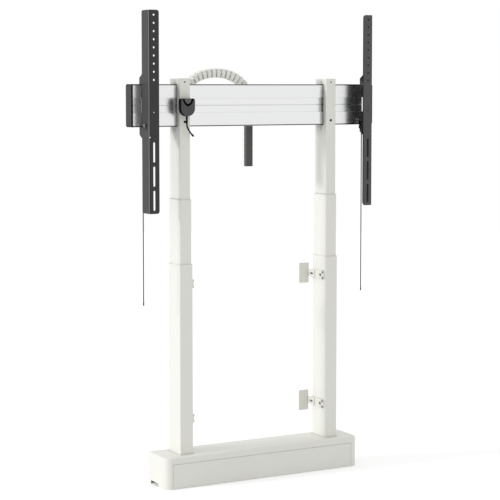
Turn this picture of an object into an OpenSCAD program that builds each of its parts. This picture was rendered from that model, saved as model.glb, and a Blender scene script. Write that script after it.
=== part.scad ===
// Floor-standing motorised lift for a large flat display.
// X runs along the crossbar, Y towards the wall, Z up.
// The origin is on the floor, midway between the two columns.

/* [Base] */
// Length of the base housing
base_len = 717; // [690:1:780]
// Depth of the base housing
base_depth = 127.5; // [116:0.5:140]
// Distance from the column plane to the front of the base
base_front = 71.5; // [60:0.5:80]
// Height of the base housing
base_h = 101; // [95:1:130]
// Radius of the two front corners seen from above
base_corner_r = 24; // [20:1:40]
// Radius along the top edge of the housing
base_edge_r = 6; // [4:0.5:9]
// Sheet thickness of the housing
cover_t = 2; // [1.5:0.1:3]
// Thickness of the floor plate
plate_t = 4; // [3.5:0.5:6]
// Distance from a front corner's curve to the service panel
panel_margin = 2; // [1:0.5:20]
// Height of the front service panel
panel_h = 80; // [60:1:86]
// Open seam around the service panel
panel_seam = 0.8; // [0.5:0.1:1.5]
// Open gap between a column and the housing
throat_gap = 3; // [2:0.5:5]
// Width of the cable outlet in the left end
outlet_w = 56; // [30:1:60]
// Height of the cable outlet
outlet_h = 11; // [10:1:20]
// Centre of the cable outlet behind the column plane
outlet_y = 12; // [0:1:16]

/* [Columns] */
// Distance between the column centres
column_spacing = 540; // [520:1:570]
// Width of the outer tube, along the bar
outer_w = 47; // [45:0.5:54]
// Depth of the outer tube
outer_d = 83; // [80:0.5:92]
// Wall of all three tubes
tube_t = 1.5; // [1.2:0.1:1.8]
// Outer corner radius of the outer tube
tube_r = 4; // [3.6:0.1:6]
// Length of the outer tube
outer_len = 652.5; // [620:0.5:720]
// Gap from outer to middle tube across the width
outer_glide_w = 1; // [0.8:0.05:1.4]
// Gap from outer to middle tube across the depth
outer_glide_d = 1.5; // [1:0.05:2]
// Gap from middle to inner tube across the width
inner_glide_w = 0.75; // [0.7:0.05:1.2]
// Gap from middle to inner tube across the depth
inner_glide_d = 2; // [1.2:0.05:2.4]
// Length of the middle stage that shows
mid_show = 205; // [202:1:260]
// Length of the inner stage that shows
inner_show = 381.5; // [378:0.5:430]
// Travel of the crossbar down from this pose
stroke_down = 400; // [300:1:400]
// Travel of the crossbar up from this pose
stroke_up = 260; // [180:1:280]
// Rim of a glide collar on top of its tube
collar_rim = 2; // [1.5:0.5:3]
// Depth of a glide collar inside its tube
collar_h = 40; // [20:1:60]

/* [Drive] */
// Height of the gearbox below a column
gearbox_h = 52; // [50:1:62]
// Height of the spigot that centres the outer tube
spigot_h = 10; // [6:1:14]
// Diameter of the motor
motor_d = 42; // [36:1:44]
// Length of the motor
motor_len = 84; // [70:1:100]
// Diameter of the drive spindle
spindle_d = 12; // [10:0.5:14]
// Outer diameter of the hollow second spindle
hollow_d = 20; // [18:0.5:24]
// Height of the glide shoe below a tube
shoe_h = 12; // [8:1:16]
// Height of the nut block inside a tube
plug_h = 20; // [16:1:26]
// Length of the control box
control_len = 190; // [140:1:220]
// Depth of the control box
control_d = 70; // [50:1:90]
// Height of the control box
control_h = 48; // [40:1:70]
// Diameter of the screws that hold the gearboxes
base_screw_d = 6; // [5:0.5:8]

/* [Crossbar] */
// Length of the extrusion
bar_len = 880; // [860:1:960]
// Height of the extrusion
bar_h = 134; // [124:1:150]
// Thickness of the extrusion
bar_t = 40; // [36:0.5:44]
// Distance from the column plane to the front of the bar
bar_front = 15; // [12:0.5:18]
// Column head above the bar
head_margin = 18; // [17:0.5:26]
// Wall of the extrusion
bar_wall = 3; // [2.5:0.1:4]
// Height of the front channel
channel_h = 47; // [40:0.2:52]
// Depth of the front channel
channel_d = 4; // [2:0.5:6]
// Thickness of an end cap
cap_t = 6; // [4:0.5:10]
// Width of the hook slots in the top and bottom edge
hook_slot_w = 6; // [5.5:0.1:8]
// Depth of the hook slots
hook_slot_d = 8; // [7:0.5:10]
// Distance from the front of the bar to a hook slot
hook_slot_in = 9; // [8:0.5:11]
// Height of the shadow groove along both front edges
edge_groove_h = 3; // [2:0.5:5]
// Depth of the shadow groove
edge_groove_d = 5; // [2:0.5:6]
// Diameter of the bar clamp screw's hole in a column head
clamp_hole_d = 8.5; // [6:0.5:9]
// Diameter of the head cap screw's hole
cap_hole_d = 5; // [4:0.5:6]

/* [Display strips] */
// Distance between the outer faces of the two strips
strip_spacing = 819.6; // [800:0.1:860]
// Length of a strip
strip_len = 630; // [600:1:700]
// Width of a strip's front face
strip_w = 33.7; // [30:0.1:40]
// Sheet thickness of a strip
strip_t = 2.5; // [2:0.1:3]
// Distance from the column plane to the strips' front face
strip_front = 69.4; // [66:0.1:76]
// Top of a strip above the middle of the bar
strip_above = 295; // [290:1:320]
// Corner radius of a strip's free edge
strip_r = 7.5; // [4:0.5:10]
// Outer radius of a strip's bend
bend_r = 3; // [2.6:0.1:4]
// Diameter of the display holes
hole_d = 6.7; // [5:0.1:8.5]
// Pitch of the display holes
hole_pitch = 25; // [20:1:25]
// Number of display holes
hole_count = 9; // [6:1:9]
// Distance from a strip's top to the first hole
hole_edge = 15.3; // [12:0.1:20]
// Distance from a strip's outer face to its hole line
hole_line = 16.4; // [14:0.1:18]
// Width of the display slots
slot_w = 7; // [5:0.1:8.5]
// Length of the display slots
slot_len = 62.5; // [50:0.5:64]
// Pitch of the display slots
slot_pitch = 75; // [70:1:76]
// Number of display slots
slot_count = 3; // [2:1:3]
// Distance from a strip's bottom to the lowest slot
slot_edge = 9.8; // [8:0.1:14]
// Reach of the hooks behind the column plane
hook_reach = 2.7; // [1.5:0.1:6]
// Height of the hook above the bar
hook_above = 19; // [14:1:26]
// Height of the hook plate below the bar
hook_below = 23; // [20:1:34]
// Height of the slope where the hooks widen
hook_slope = 12; // [8:1:18]

/* [Latch] */
// Thickness of the latch lever
latch_t = 5; // [4:0.5:6]
// Diameter of the latch pivot bolt
pivot_d = 6; // [5:0.5:8]
// Distance from the bar's front to the latch pivot
pivot_ahead = 20; // [18:0.5:24]
// Height of the latch pivot above the bar's bottom edge
pivot_up = 5; // [4:0.5:6]
// Radius of the guide pin's path about the pivot
guide_r = 15.5; // [12:0.5:17]
// Diameter of the guide pin
guide_d = 4; // [3:0.5:5]
// Diameter of the pull cords
pull_d = 3.4; // [2.5:0.1:4]
// Length of the pull cords
pull_len = 546.7; // [450:0.1:600]

/* [Handset] */
// Width of the handset
handset_w = 48; // [46:0.5:56]
// Height of the handset
handset_h = 55; // [52:0.5:64]
// Thickness of the handset
handset_t = 18.5; // [12:0.5:22]
// Sideways shift of the handset from its column
handset_shift = 0; // [-4:0.1:8]
// Centre of the handset below the middle of the bar
handset_drop = 5.5; // [0:0.5:12]
// Thickness of the holder behind the handset
holder_clip_t = 5; // [4:0.5:12]
// Width of the rocker's recess at the top edge
recess_w = 37.5; // [34:0.5:38]
// Depth of the rocker's recess down the front
recess_h = 25; // [22:0.5:26]
// Width of the rocker at the top edge
rocker_w = 24; // [20:0.5:26]
// Length of the rocker down the front
rocker_h = 16.5; // [14:0.5:18]
// Diameter of the rocker's trunnions
trunnion_d = 2.4; // [2:0.1:2.6]
// Diameter of the handset's lead
lead_d = 5; // [4:0.1:5]

/* [Cable spine] */
// Pitch of the spine links
link_pitch = 17.2; // [15:0.1:18]
// Length of a link's body
link_len = 11.8; // [9:0.1:12]
// Height of a link across the arch
link_h = 29; // [24:0.5:30]
// Width of a link from front to back
link_w = 28; // [24:0.5:32]
// Highest point of the arch above the bar, at the links' middle
arch_rise = 36; // [30:1:46]
// Sideways place of the highest point
arch_x = -110; // [-120:1:-100]
// Drop of the arch to its left leg
arch_drop_left = 45; // [38:1:60]
// Drop of the arch to its right leg
arch_drop_right = 82; // [78:1:96]
// Number of links in the left leg
left_links = 3; // [2:1:4]
// Width of the cable holder
holder_w = 23; // [20:0.5:28]
// Depth of the cable holder
holder_d = 16; // [12:0.5:20]
// Sheet thickness of the cable holder
holder_t = 2; // [1.5:0.1:3]
// Lower end of the cable holder below the bar
holder_drop = 133; // [110:1:160]

/* [Wall brackets] */
// Height of the lower brackets
bracket_low = 214; // [160:1:300]
// Height of the upper brackets
bracket_high = 647; // [560:1:660]
// Height of a bracket's clip block
clip_h = 27; // [26:0.5:32]
// Width of a clip block
clip_w = 10; // [8:0.5:12]
// Thickness of a clip block
clip_t = 5; // [4.5:0.1:8]
// Height of a bracket's arm
arm_h = 30; // [26:0.5:36]
// Thickness of arm and wall plate
arm_t = 3; // [2:0.5:4]
// Distance between the arm and the column
arm_off = 1.3; // [0.8:0.1:1.5]
// Reach of the arm behind the column
arm_reach = 1.5; // [0:0.5:4]
// Distance from the column's rear face to the wall
wall_gap = 19.5; // [18:0.5:30]
// Width of a wall plate
wall_plate_w = 36.5; // [34:0.5:46]
// Height of a wall plate
wall_plate_h = 68; // [64:0.5:90]
// Travel of a wall plate towards the wall
bracket_out = 11; // [6:1:12]
// Travel of a wall plate away from the wall
bracket_in = 10; // [6:1:10]

/* [Hidden] */
$fn = 48;

// Clearances
fit = 0.1;
run = 0.05;
glide = 0.25;
clear = 0.3;
end_clear = 3;
cut = 1;

// Colours
white = [0.93, 0.93, 0.91];
steel = [0.6, 0.61, 0.62];
silver = [0.8, 0.81, 0.82];
charcoal = [0.24, 0.24, 0.25];
black = [0.08, 0.08, 0.08];
grey = [0.72, 0.71, 0.68];
nylon = [0.82, 0.82, 0.8];

// Base
base_y = base_depth / 2 - base_front;
panel_len = base_len - 2 * (base_corner_r + panel_margin);
outlet_r = 5;
outlet_notch = 25;
csk = base_screw_d / 2;
csk_recess = 0.3;
base_screw_len = 18;
base_screw_x = outer_w / 2 - 9;
base_screw_y = outer_d / 2 - 12;

// Tube sections, outside and inside
half_span = column_spacing / 2;
outer_in = [outer_w - 2 * tube_t, outer_d - 2 * tube_t];
mid = outer_in - 2 * [outer_glide_w, outer_glide_d];
mid_in = mid - 2 * [tube_t, tube_t];
inner = mid_in - 2 * [inner_glide_w, inner_glide_d];
inner_in = inner - 2 * [tube_t, tube_t];
mid_r = tube_r - 0.5;
inner_r = tube_r - 1;

// Heights of the columns, from the floor up
gear_top = plate_t + gearbox_h;
outer_tube_top = gear_top + outer_len;
outer_top = outer_tube_top + collar_rim;
mid_top = outer_top + mid_show;
mid_tube_top = mid_top - collar_rim;
inner_top = mid_top + inner_show;
head_cap_rim = 1.5;
head_cap_plug = 14;
inner_tube_top = inner_top - head_cap_rim;
mid_low = gear_top + spigot_h + end_clear + shoe_h;
mid_bottom = mid_low + stroke_down / 2;
inner_bottom = mid_low + plug_h + end_clear + shoe_h + stroke_down;

// Drive
bearing_depth = 30;
spindle_spare = 10;
seat_floor = 4;
drive_bottom = gear_top - bearing_depth;
drive_top = mid_bottom + plug_h + stroke_up / 2 + spindle_spare;
hollow_bottom = mid_bottom + seat_floor;
hollow_top = inner_bottom + plug_h + stroke_up / 2 + spindle_spare;
motor_flange_t = 5;
motor_rim = 2;
motor_floor_gap = 5;
motor_z = plate_t + motor_floor_gap + motor_rim + motor_d / 2;
bell_len = 10;
bell_step = 4;

// Crossbar
bar_top = inner_top - head_margin;
bar_bottom = bar_top - bar_h;
bar_mid = bar_top - bar_h / 2;
bar_back = bar_t - bar_front;
edge_lip = 0.6;
web_t = 3;
cavity_r = 2;
cavity_edge = hook_slot_d + bar_wall + 1;
cavity_low = [cavity_edge, bar_h / 2 - channel_h / 2 - web_t / 2];
cavity_mid = [cavity_low[1] + web_t, bar_h - cavity_low[1] - web_t];
cavity_high = [bar_h - cavity_low[1], bar_h - cavity_edge];
cap_plug = 12;
cap_chamfer = 5;
window_gap = 3;
slit_w = 3.2;
slit_y = -4;
slit_room = 10;
slit_above = 12;
slit_below = 16;
clamp_z = bar_bottom + 15.5;
cap_screw_z = bar_top + 6.5;
clamp_nut_d = 14;
clamp_nut_t = 6;
cap_screw_len = 8;
socket_depth = 3;
screw_recess = 0.4;

// Strips
strip_top = bar_mid + strip_above;
strip_bottom = strip_top - strip_len;
flange_back = -bar_front - 1;
slot_front_y = hook_slot_in - bar_front;
tooth = [slot_front_y + 1, slot_front_y + hook_slot_w - 1];
tooth_down = hook_slot_d - 2;
lock_hole_d = 4;
lock_hole_z = bar_mid - 20.5;
relief_d = 5;
relief_z = bar_bottom - 30.5;

// Latch, on the strip's inner side
latch_x = strip_t + clear;
pivot_y = -bar_front - pivot_ahead;
pivot_z = bar_bottom + pivot_up;
hub_r = 8;
guide_slot_w = guide_d + 2 * 0.4;
guide_swing = 55;
latch_gap = 3;
latch_arm_h = 11;
latch_tail_y = slot_front_y + hook_slot_w;
latch_tooth = [slot_front_y + 0.8, slot_front_y + hook_slot_w - 1.8];
latch_tooth_up = hook_slot_d - 2.5;
bolt_head_d = 10;
bolt_head_t = 2.5;
bolt_end_t = 1.5;

// Pull cords: straight down from the latch, x from the strip's outer face
pull_x = latch_x + pull_d / 2;
pull_y = -bar_front + 3.3;
pull_top = bar_bottom - latch_gap - latch_arm_h - clear;
pull_steps = 32;
pull_route = [for (i = [0:pull_steps]) [pull_x, pull_y, pull_top - i * pull_len / pull_steps]];

// Handset
handset_x = handset_shift - half_span;
handset_z = bar_mid - handset_drop;
handset_back = -inner[1] / 2 - holder_clip_t;
handset_front = handset_back - handset_t;
handset_r = 6;
recess_depth = 4.5;
rocker_back_gap = 1.2;
rocker_proud = 0.5;
rocker_top_gap = 0.6;
trunnion_down = 7;
trunnion_in = 2;
trunnion_y = handset_front + 2.4;
lead_in = 6.5;
lead_shape = [
    [-1.8, 0, 0], [-1.9, 0, -7], [-2, 0, -14], [-1.9, 0, -21],
    [-1.4, 0, -28], [0.3, 0, -35], [3.9, 0.5, -41.5], [8.1, 1, -47.5],
    [11.9, 1.5, -53], [17, 2, -58]
];
lead_route = [for (p = lead_shape) [handset_x, handset_front + lead_in, handset_z - handset_h / 2] + p];
lead_plug_len = 9;
lead_plug_d = 6.4;

// Cable spine
holder_x = -4;
spine_right_x = holder_x + 8;
spine_left_x = 60 - half_span;
spine_y = bar_back + holder_d + clear + link_w / 2;
arch_z = bar_top + arch_rise;
link_r = 5;
link_front = 10;
neck_d = 9.2;
cable_w = 14;
holder_top = bar_top - 9;
holder_bottom = bar_bottom - holder_drop;
spine_clip_h = 34;
spine_clip_arm = 3;
spine_clip_reach = 20;

// Wall brackets, y from the column plane
clip_y = 8.5 - outer_d / 2;
clip_screw_z = 9.5;
clip_screw_d = 4;
clip_waist_h = 9;
clip_waist_d = 1;
arm_front_y = clip_y + clip_w / 2 - 1;
arm_back_y = outer_d / 2 + arm_reach;
arm_screw_y = clip_y + 15.5;
arm_screw_d = 5;
arm_boss_d = 12;
arm_r = 5;
tab_h = 24;
tab_screw_in = 8;
tab_screw_y = arm_back_y - tab_screw_in;
tab_screw_d = 4;
tab_slot_w = tab_screw_d + 2 * clear;
wall_y = outer_d / 2 + wall_gap;
tab_x = arm_off + arm_t + fit;
screw_head_t = 2;

// Shared shapes

// Rectangle with round corners, centred
module rounded(size, r) {
    square([size[0] - 2 * r, size[1]], center = true);
    square([size[0], size[1] - 2 * r], center = true);
    for (x = [-1, 1], y = [-1, 1])
        translate([x * (size[0] / 2 - r), y * (size[1] / 2 - r)]) circle(r);
}

// Outline drawn in Y and Z, carried along X
module along_x(start, length) {
    translate([start, 0, 0]) rotate([90, 0, 90]) linear_extrude(length) children();
}

// Outline drawn in X and Z, carried along Y
module along_y(start, length) {
    translate([0, start + length, 0]) rotate([90, 0, 0]) linear_extrude(length) children();
}

// Round bar along X or Y from a start point
module rod_x(at, d, length) {
    translate(at) rotate([0, 90, 0]) cylinder(d = d, h = length);
}

module rod_y(at, d, length) {
    translate(at) rotate([-90, 0, 0]) cylinder(d = d, h = length);
}

// Right-hand pieces are drawn as they stand, left-hand ones are mirrored
module on_side(side) {
    if (side < 0) mirror([1, 0, 0]) children();
    else children();
}

module at_column(side) {
    on_side(side) translate([half_span, 0, 0]) children();
}

// Strips are drawn with x inwards from their outer face
module at_strip(side) {
    on_side(-side) translate([-strip_spacing / 2, 0, 0]) children();
}

// Round tube along a route, as rings of n points joined by triangles
function heading(route, i) =
    let (a = route[max(i - 1, 0)], b = route[min(i + 1, len(route) - 1)]) (b - a) / norm(b - a);

function ring(route, i, d, n) =
    let (t = heading(route, i), s = cross([0, 1, 0], t) / norm(cross([0, 1, 0], t)), u = cross(t, s))
    [for (k = [0:n - 1]) route[i] + d / 2 * (cos(360 * k / n) * s + sin(360 * k / n) * u)];

module cord(route, d, n = 8) {
    last = len(route) - 1;
    points = [for (i = [0:last]) each ring(route, i, d, n)];
    wall = [for (i = [0:last - 1], k = [0:n - 1])
        let (a = i * n + k, b = i * n + (k + 1) % n) each [[a, a + n, b], [b, a + n, b + n]]];
    ends = [for (k = [1:n - 2])
        each [[0, k, k + 1], [last * n, last * n + k + 1, last * n + k]]];
    polyhedron(points, concat(wall, ends));
}

// Base

// Housing with round front corners and a round top edge, standing on z = 0
module housing(length, depth, h, r, e) {
    for (x = [-1, 1])
        translate([x * (length / 2 - r), r - depth / 2, 0]) rotate_extrude() {
            square([r - e, h]);
            square([r, h - e]);
            translate([r - e, h - e]) circle(e);
        }
    along_x(r - length / 2, length - 2 * r) translate([-depth / 2, 0]) {
        translate([e, 0]) square([r - e, h]);
        square([r, h - e]);
        translate([e, h - e]) circle(e);
    }
    along_y(r - depth / 2, depth - r) {
        translate([e - length / 2, 0]) square([length - 2 * e, h]);
        translate([-length / 2, 0]) square([length, h - e]);
        for (x = [-1, 1]) translate([x * (length / 2 - e), h - e]) circle(e);
    }
}

module outlet_outline() {
    translate([outlet_y, 0]) {
        translate([-outlet_w / 2, -cut]) square([outlet_w, outlet_h + cut - outlet_r]);
        translate([outlet_r - outlet_w / 2, -cut]) square([outlet_w - 2 * outlet_r, outlet_h + cut]);
        for (y = [-1, 1])
            translate([y * (outlet_w / 2 - outlet_r), outlet_h - outlet_r]) circle(outlet_r);
    }
}

module base_cover() {
    color(white) difference() {
        translate([0, base_y, 0]) housing(base_len, base_depth, base_h, base_corner_r, base_edge_r);
        translate([0, base_y, -cut])
            housing(base_len - 2 * cover_t, base_depth - 2 * cover_t, base_h - cover_t + cut,
                base_corner_r - cover_t, base_edge_r - cover_t);
        for (side = [-1, 1]) at_column(side) translate([0, 0, base_h - cover_t - cut])
            linear_extrude(cover_t + 2 * cut)
                rounded([outer_w, outer_d] + 2 * [throat_gap, throat_gap], tube_r + throat_gap);
        translate([-panel_len / 2, -base_front - cut, -cut])
            cube([panel_len, cover_t + 2 * cut, panel_h + cut]);
        along_x(-base_len / 2 - cut, cover_t + 2 * cut) outlet_outline();
    }
}

module front_panel() {
    color(white) translate([panel_seam - panel_len / 2, -base_front, panel_seam])
        cube([panel_len - 2 * panel_seam, cover_t, panel_h - 2 * panel_seam]);
}

module base_plate() {
    length = base_len - 2 * cover_t;
    depth = base_depth - 2 * cover_t;
    r = base_corner_r;
    color(steel) difference() {
        translate([0, base_y, 0]) linear_extrude(plate_t) {
            translate([-length / 2, r - depth / 2]) square([length, depth - r]);
            translate([r - length / 2, -depth / 2]) square([length - 2 * r, depth]);
            for (x = [-1, 1]) translate([x * (length / 2 - r), r - depth / 2]) circle(r);
        }
        translate([-length / 2 - cut, outlet_y - outlet_w / 2, -cut])
            cube([outlet_notch + cut, outlet_w, plate_t + 2 * cut]);
        base_screw_places() {
            translate([0, 0, -cut]) cylinder(d = base_screw_d + 2 * run, h = plate_t + 2 * cut);
            cylinder(d1 = 2 * base_screw_d + 2 * (csk_recess + fit), d2 = base_screw_d + 2 * run,
                h = csk + csk_recess + run);
        }
    }
}

module base_screw_places() {
    for (side = [-1, 1], x = [-1, 1], y = [-1, 1])
        at_column(side) translate([x * base_screw_x, y * base_screw_y, 0]) children();
}

module base_screws() {
    color(steel) base_screw_places() translate([0, 0, csk_recess]) {
        cylinder(d1 = 2 * base_screw_d, d2 = base_screw_d, h = csk);
        translate([0, 0, csk]) cylinder(d = base_screw_d, h = base_screw_len - csk);
    }
}

module control_box() {
    connector = [10, 40, 22];
    color(charcoal) {
        translate([0, 0, plate_t]) linear_extrude(control_h) rounded([control_len, control_d], 5);
        for (x = [-1, 1])
            translate([x * (control_len + connector[0]) / 2, 0, plate_t + connector[2] / 2])
                cube(connector, center = true);
    }
}

// Drive

module gearbox() {
    difference() {
        union() {
            translate([0, 0, plate_t]) linear_extrude(gearbox_h) rounded([outer_w, outer_d], tube_r);
            translate([0, 0, gear_top]) linear_extrude(spigot_h)
                rounded(outer_in - 2 * [fit, fit], tube_r - tube_t);
            rod_x([-outer_w / 2 - motor_flange_t, 0, motor_z], motor_d + 2 * motor_rim,
                motor_flange_t + outer_w / 4);
        }
        translate([0, 0, drive_bottom])
            cylinder(d = spindle_d + 2 * run, h = bearing_depth + spigot_h + cut);
        for (x = [-1, 1], y = [-1, 1])
            translate([x * base_screw_x, y * base_screw_y, plate_t - cut])
                cylinder(d = base_screw_d + 2 * run, h = base_screw_len + clear + cut - plate_t + csk_recess);
    }
}

module motor() {
    start = -outer_w / 2 - motor_flange_t;
    rod_x([start - motor_len, 0, motor_z], motor_d, motor_len);
    rod_x([start - motor_len - bell_len, 0, motor_z], motor_d - 2 * bell_step, bell_len);
}

module drive_spindle() {
    translate([0, 0, drive_bottom]) cylinder(d = spindle_d, h = drive_top - drive_bottom);
}

module hollow_spindle() {
    translate([0, 0, hollow_bottom]) difference() {
        cylinder(d = hollow_d, h = hollow_top - hollow_bottom);
        translate([0, 0, -cut])
            cylinder(d = spindle_d + 2 * clear, h = hollow_top - hollow_bottom + 2 * cut);
    }
}

// Glide shoe below a tube with a nut block inside it
module nut_block(z, shoe, plug, r) {
    translate([0, 0, z - shoe_h]) linear_extrude(shoe_h) rounded(shoe - 2 * [glide, glide], r);
    translate([0, 0, z]) linear_extrude(plug_h) rounded(plug - 2 * [fit, fit], r);
}

module mid_nut() {
    difference() {
        nut_block(mid_bottom, outer_in, mid_in, tube_r - tube_t);
        translate([0, 0, mid_bottom - shoe_h - cut])
            cylinder(d = spindle_d + 2 * run, h = shoe_h + plug_h + 2 * cut);
        translate([0, 0, hollow_bottom]) cylinder(d = hollow_d + 2 * run, h = plug_h);
    }
}

module inner_nut() {
    difference() {
        nut_block(inner_bottom, mid_in, inner_in, mid_r - tube_t);
        translate([0, 0, inner_bottom - shoe_h - cut])
            cylinder(d = hollow_d + 2 * run, h = shoe_h + plug_h + 2 * cut);
    }
}

// Columns

module tube(z, top, size, r) {
    translate([0, 0, z]) linear_extrude(top - z) difference() {
        rounded(size, r);
        rounded(size - 2 * [tube_t, tube_t], r - tube_t);
    }
}

module outer_tube() {
    through = tube_t + 2 * cut;
    difference() {
        tube(gear_top, outer_tube_top, [outer_w, outer_d], tube_r);
        for (z = [bracket_low, bracket_high]) {
            for (dz = [-1, 1])
                rod_x([-outer_w / 2 - cut, clip_y, z + dz * clip_screw_z], clip_screw_d + 2 * run, through);
            rod_x([-outer_w / 2 - cut, arm_screw_y, z], arm_screw_d + 2 * run, through);
        }
    }
}

// Rim on top of a tube and a sleeve inside it, open for the next stage
module collar(z, size, r, next, next_r) {
    difference() {
        union() {
            translate([0, 0, z]) linear_extrude(collar_rim) rounded(size, r);
            translate([0, 0, z - collar_h]) linear_extrude(collar_h)
                rounded(size - 2 * [tube_t + run, tube_t + run], r - tube_t);
        }
        translate([0, 0, z - collar_h - cut]) linear_extrude(collar_h + collar_rim + 2 * cut)
            rounded(next + 2 * [glide, glide], next_r + glide);
    }
}

// Inner tube with the bar's window, the slits and the screw holes of its head
module inner_tube() {
    front = -inner[1] / 2;
    difference() {
        union() {
            tube(inner_bottom, inner_tube_top, inner, inner_r);
            rod_y([0, front + tube_t / 2, clamp_z], clamp_nut_d, clamp_nut_t + tube_t / 2);
        }
        translate([-inner[0], -bar_front - window_gap, bar_bottom - clear])
            cube([2 * inner[0], window_gap + bar_t + clear, bar_h + 2 * clear]);
        translate([-inner[0], slit_y - slit_w / 2, bar_bottom - slit_below])
            cube([2 * inner[0], slit_w, bar_h + slit_below + slit_above]);
        rod_y([0, front - cut, clamp_z], clamp_hole_d, tube_t + clamp_nut_t + 2 * cut);
        rod_y([0, front - cut, cap_screw_z], cap_hole_d, tube_t + 2 * cut);
    }
}

// Head cap with a plug in two halves, which leaves the slits open
module head_cap() {
    front = -inner[1] / 2;
    difference() {
        union() {
            translate([0, 0, inner_tube_top]) linear_extrude(head_cap_rim) rounded(inner, inner_r);
            translate([0, 0, inner_tube_top - head_cap_plug]) linear_extrude(head_cap_plug)
                rounded(inner_in - 2 * [fit, fit], inner_r - tube_t);
        }
        translate([-inner[0], slit_y - slit_w / 2 - clear, inner_tube_top - head_cap_plug - cut])
            cube([2 * inner[0], slit_w + slit_room, head_cap_plug - head_cap_rim + cut]);
        rod_y([0, front, cap_screw_z], cap_hole_d, cap_screw_len + tube_t);
    }
}

module socket_screw(at, d, length) {
    difference() {
        rod_y(at, d, length);
        translate(at - [0, cut, 0]) rotate([-90, 0, 0])
            cylinder(d = d * 0.6, h = socket_depth + cut, $fn = 6);
    }
}

module bar_clamp_screws() {
    start = screw_recess - inner[1] / 2;
    color(black) for (side = [-1, 1]) at_column(side) {
        socket_screw([0, start, clamp_z], clamp_hole_d - 2 * fit, -bar_front - start);
        socket_screw([0, start, cap_screw_z], cap_hole_d - 2 * fit, cap_screw_len);
    }
}

// Crossbar

module cavity(span, front) {
    translate([(front + bar_t - bar_wall) / 2, (span[0] + span[1]) / 2])
        rounded([bar_t - bar_wall - front, span[1] - span[0]], cavity_r);
}

module bar_cavities() {
    cavity(cavity_low, bar_wall);
    cavity(cavity_mid, channel_d + bar_wall);
    cavity(cavity_high, bar_wall);
}

module crossbar() {
    notch = 2.4;
    color(silver) along_x(-bar_len / 2, bar_len) translate([-bar_front, bar_bottom]) difference() {
        square([bar_t, bar_h]);
        translate([-cut, (bar_h - channel_h) / 2]) square([channel_d + cut, channel_h]);
        translate([channel_d, bar_h / 2]) rotate(45) square(notch, center = true);
        for (z = [edge_lip, bar_h - edge_lip - edge_groove_h])
            translate([-cut, z]) square([edge_groove_d + cut, edge_groove_h]);
        for (z = [-cut, bar_h - hook_slot_d])
            translate([hook_slot_in, z]) square([hook_slot_w, hook_slot_d + cut]);
        bar_cavities();
    }
}

module end_cap() {
    translate([bar_len / 2, 0, 0]) {
        along_y(-bar_front, bar_t) translate([0, bar_bottom]) polygon([
            [0, 0], [cap_t - cap_t / 2, 0], [cap_t, cap_chamfer],
            [cap_t, bar_h - cap_chamfer], [cap_t - cap_t / 2, bar_h], [0, bar_h]
        ]);
        along_x(-cap_plug, cap_plug + cut) translate([-bar_front, bar_bottom])
            for (span = [cavity_low, cavity_high])
                translate([bar_t / 2, (span[0] + span[1]) / 2])
                    square([bar_t - 2 * bar_wall - 2 * cavity_r, span[1] - span[0] - 2 * fit], center = true);
    }
}

// Display strips

module strip_face() {
    square([strip_w - strip_r, strip_len]);
    translate([0, strip_r]) square([strip_w, strip_len - 2 * strip_r]);
    for (z = [strip_r, strip_len - strip_r]) translate([strip_w - strip_r, z]) circle(strip_r);
}

// Flange outline in Y and Z: it widens to hook over the bar and to close below it
module flange_outline() {
    over = bar_top + clear;
    under = bar_bottom - clear;
    polygon([
        [-strip_front, strip_bottom], [flange_back, strip_bottom],
        [flange_back, under - hook_below - hook_slope], [hook_reach, under - hook_below],
        [hook_reach, under], [flange_back, under],
        [flange_back, over], [tooth[0], over], [tooth[0], over - tooth_down],
        [tooth[1], over - tooth_down], [tooth[1], over], [hook_reach, over],
        [hook_reach, over + hook_above], [flange_back, over + hook_above + hook_slope],
        [flange_back, strip_top], [-strip_front, strip_top]
    ]);
}

// Arc-shaped slot for the latch's guide pin, about the pivot
module guide_slot() {
    intersection() {
        difference() {
            circle(guide_r + guide_slot_w / 2);
            circle(guide_r - guide_slot_w / 2);
        }
        polygon([[0, 0], 3 * guide_r * [-cos(guide_swing), sin(guide_swing)],
            3 * guide_r * [-1, 0], 3 * guide_r * [-cos(guide_swing), -sin(guide_swing)]]);
    }
}

module slot_hole(x, z, w, length) {
    along_y(-strip_front - cut, strip_t + 2 * cut) translate([x, z]) {
        translate([-w / 2, w / 2]) square([w, length - w]);
        for (end = [w / 2, length - w / 2]) translate([0, end]) circle(d = w);
    }
}

// What the bend's outer radius takes off the corner between face and flange
module bend_corner() {
    translate([0, -strip_front, strip_bottom - cut]) linear_extrude(strip_len + 2 * cut) difference() {
        translate([-cut, -cut]) square(bend_r + cut);
        translate([bend_r, bend_r]) circle(bend_r);
    }
}

// What the round corner takes off the flange's rear edge, at the strip's top or bottom
module flange_corner(z) {
    way = z > bar_mid ? 1 : -1;
    along_x(-cut, strip_t + 2 * cut) translate([flange_back, z]) difference() {
        translate([-strip_r, way > 0 ? -strip_r : -cut]) square(strip_r + cut);
        translate([-strip_r, -way * strip_r]) circle(strip_r);
    }
}

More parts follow.
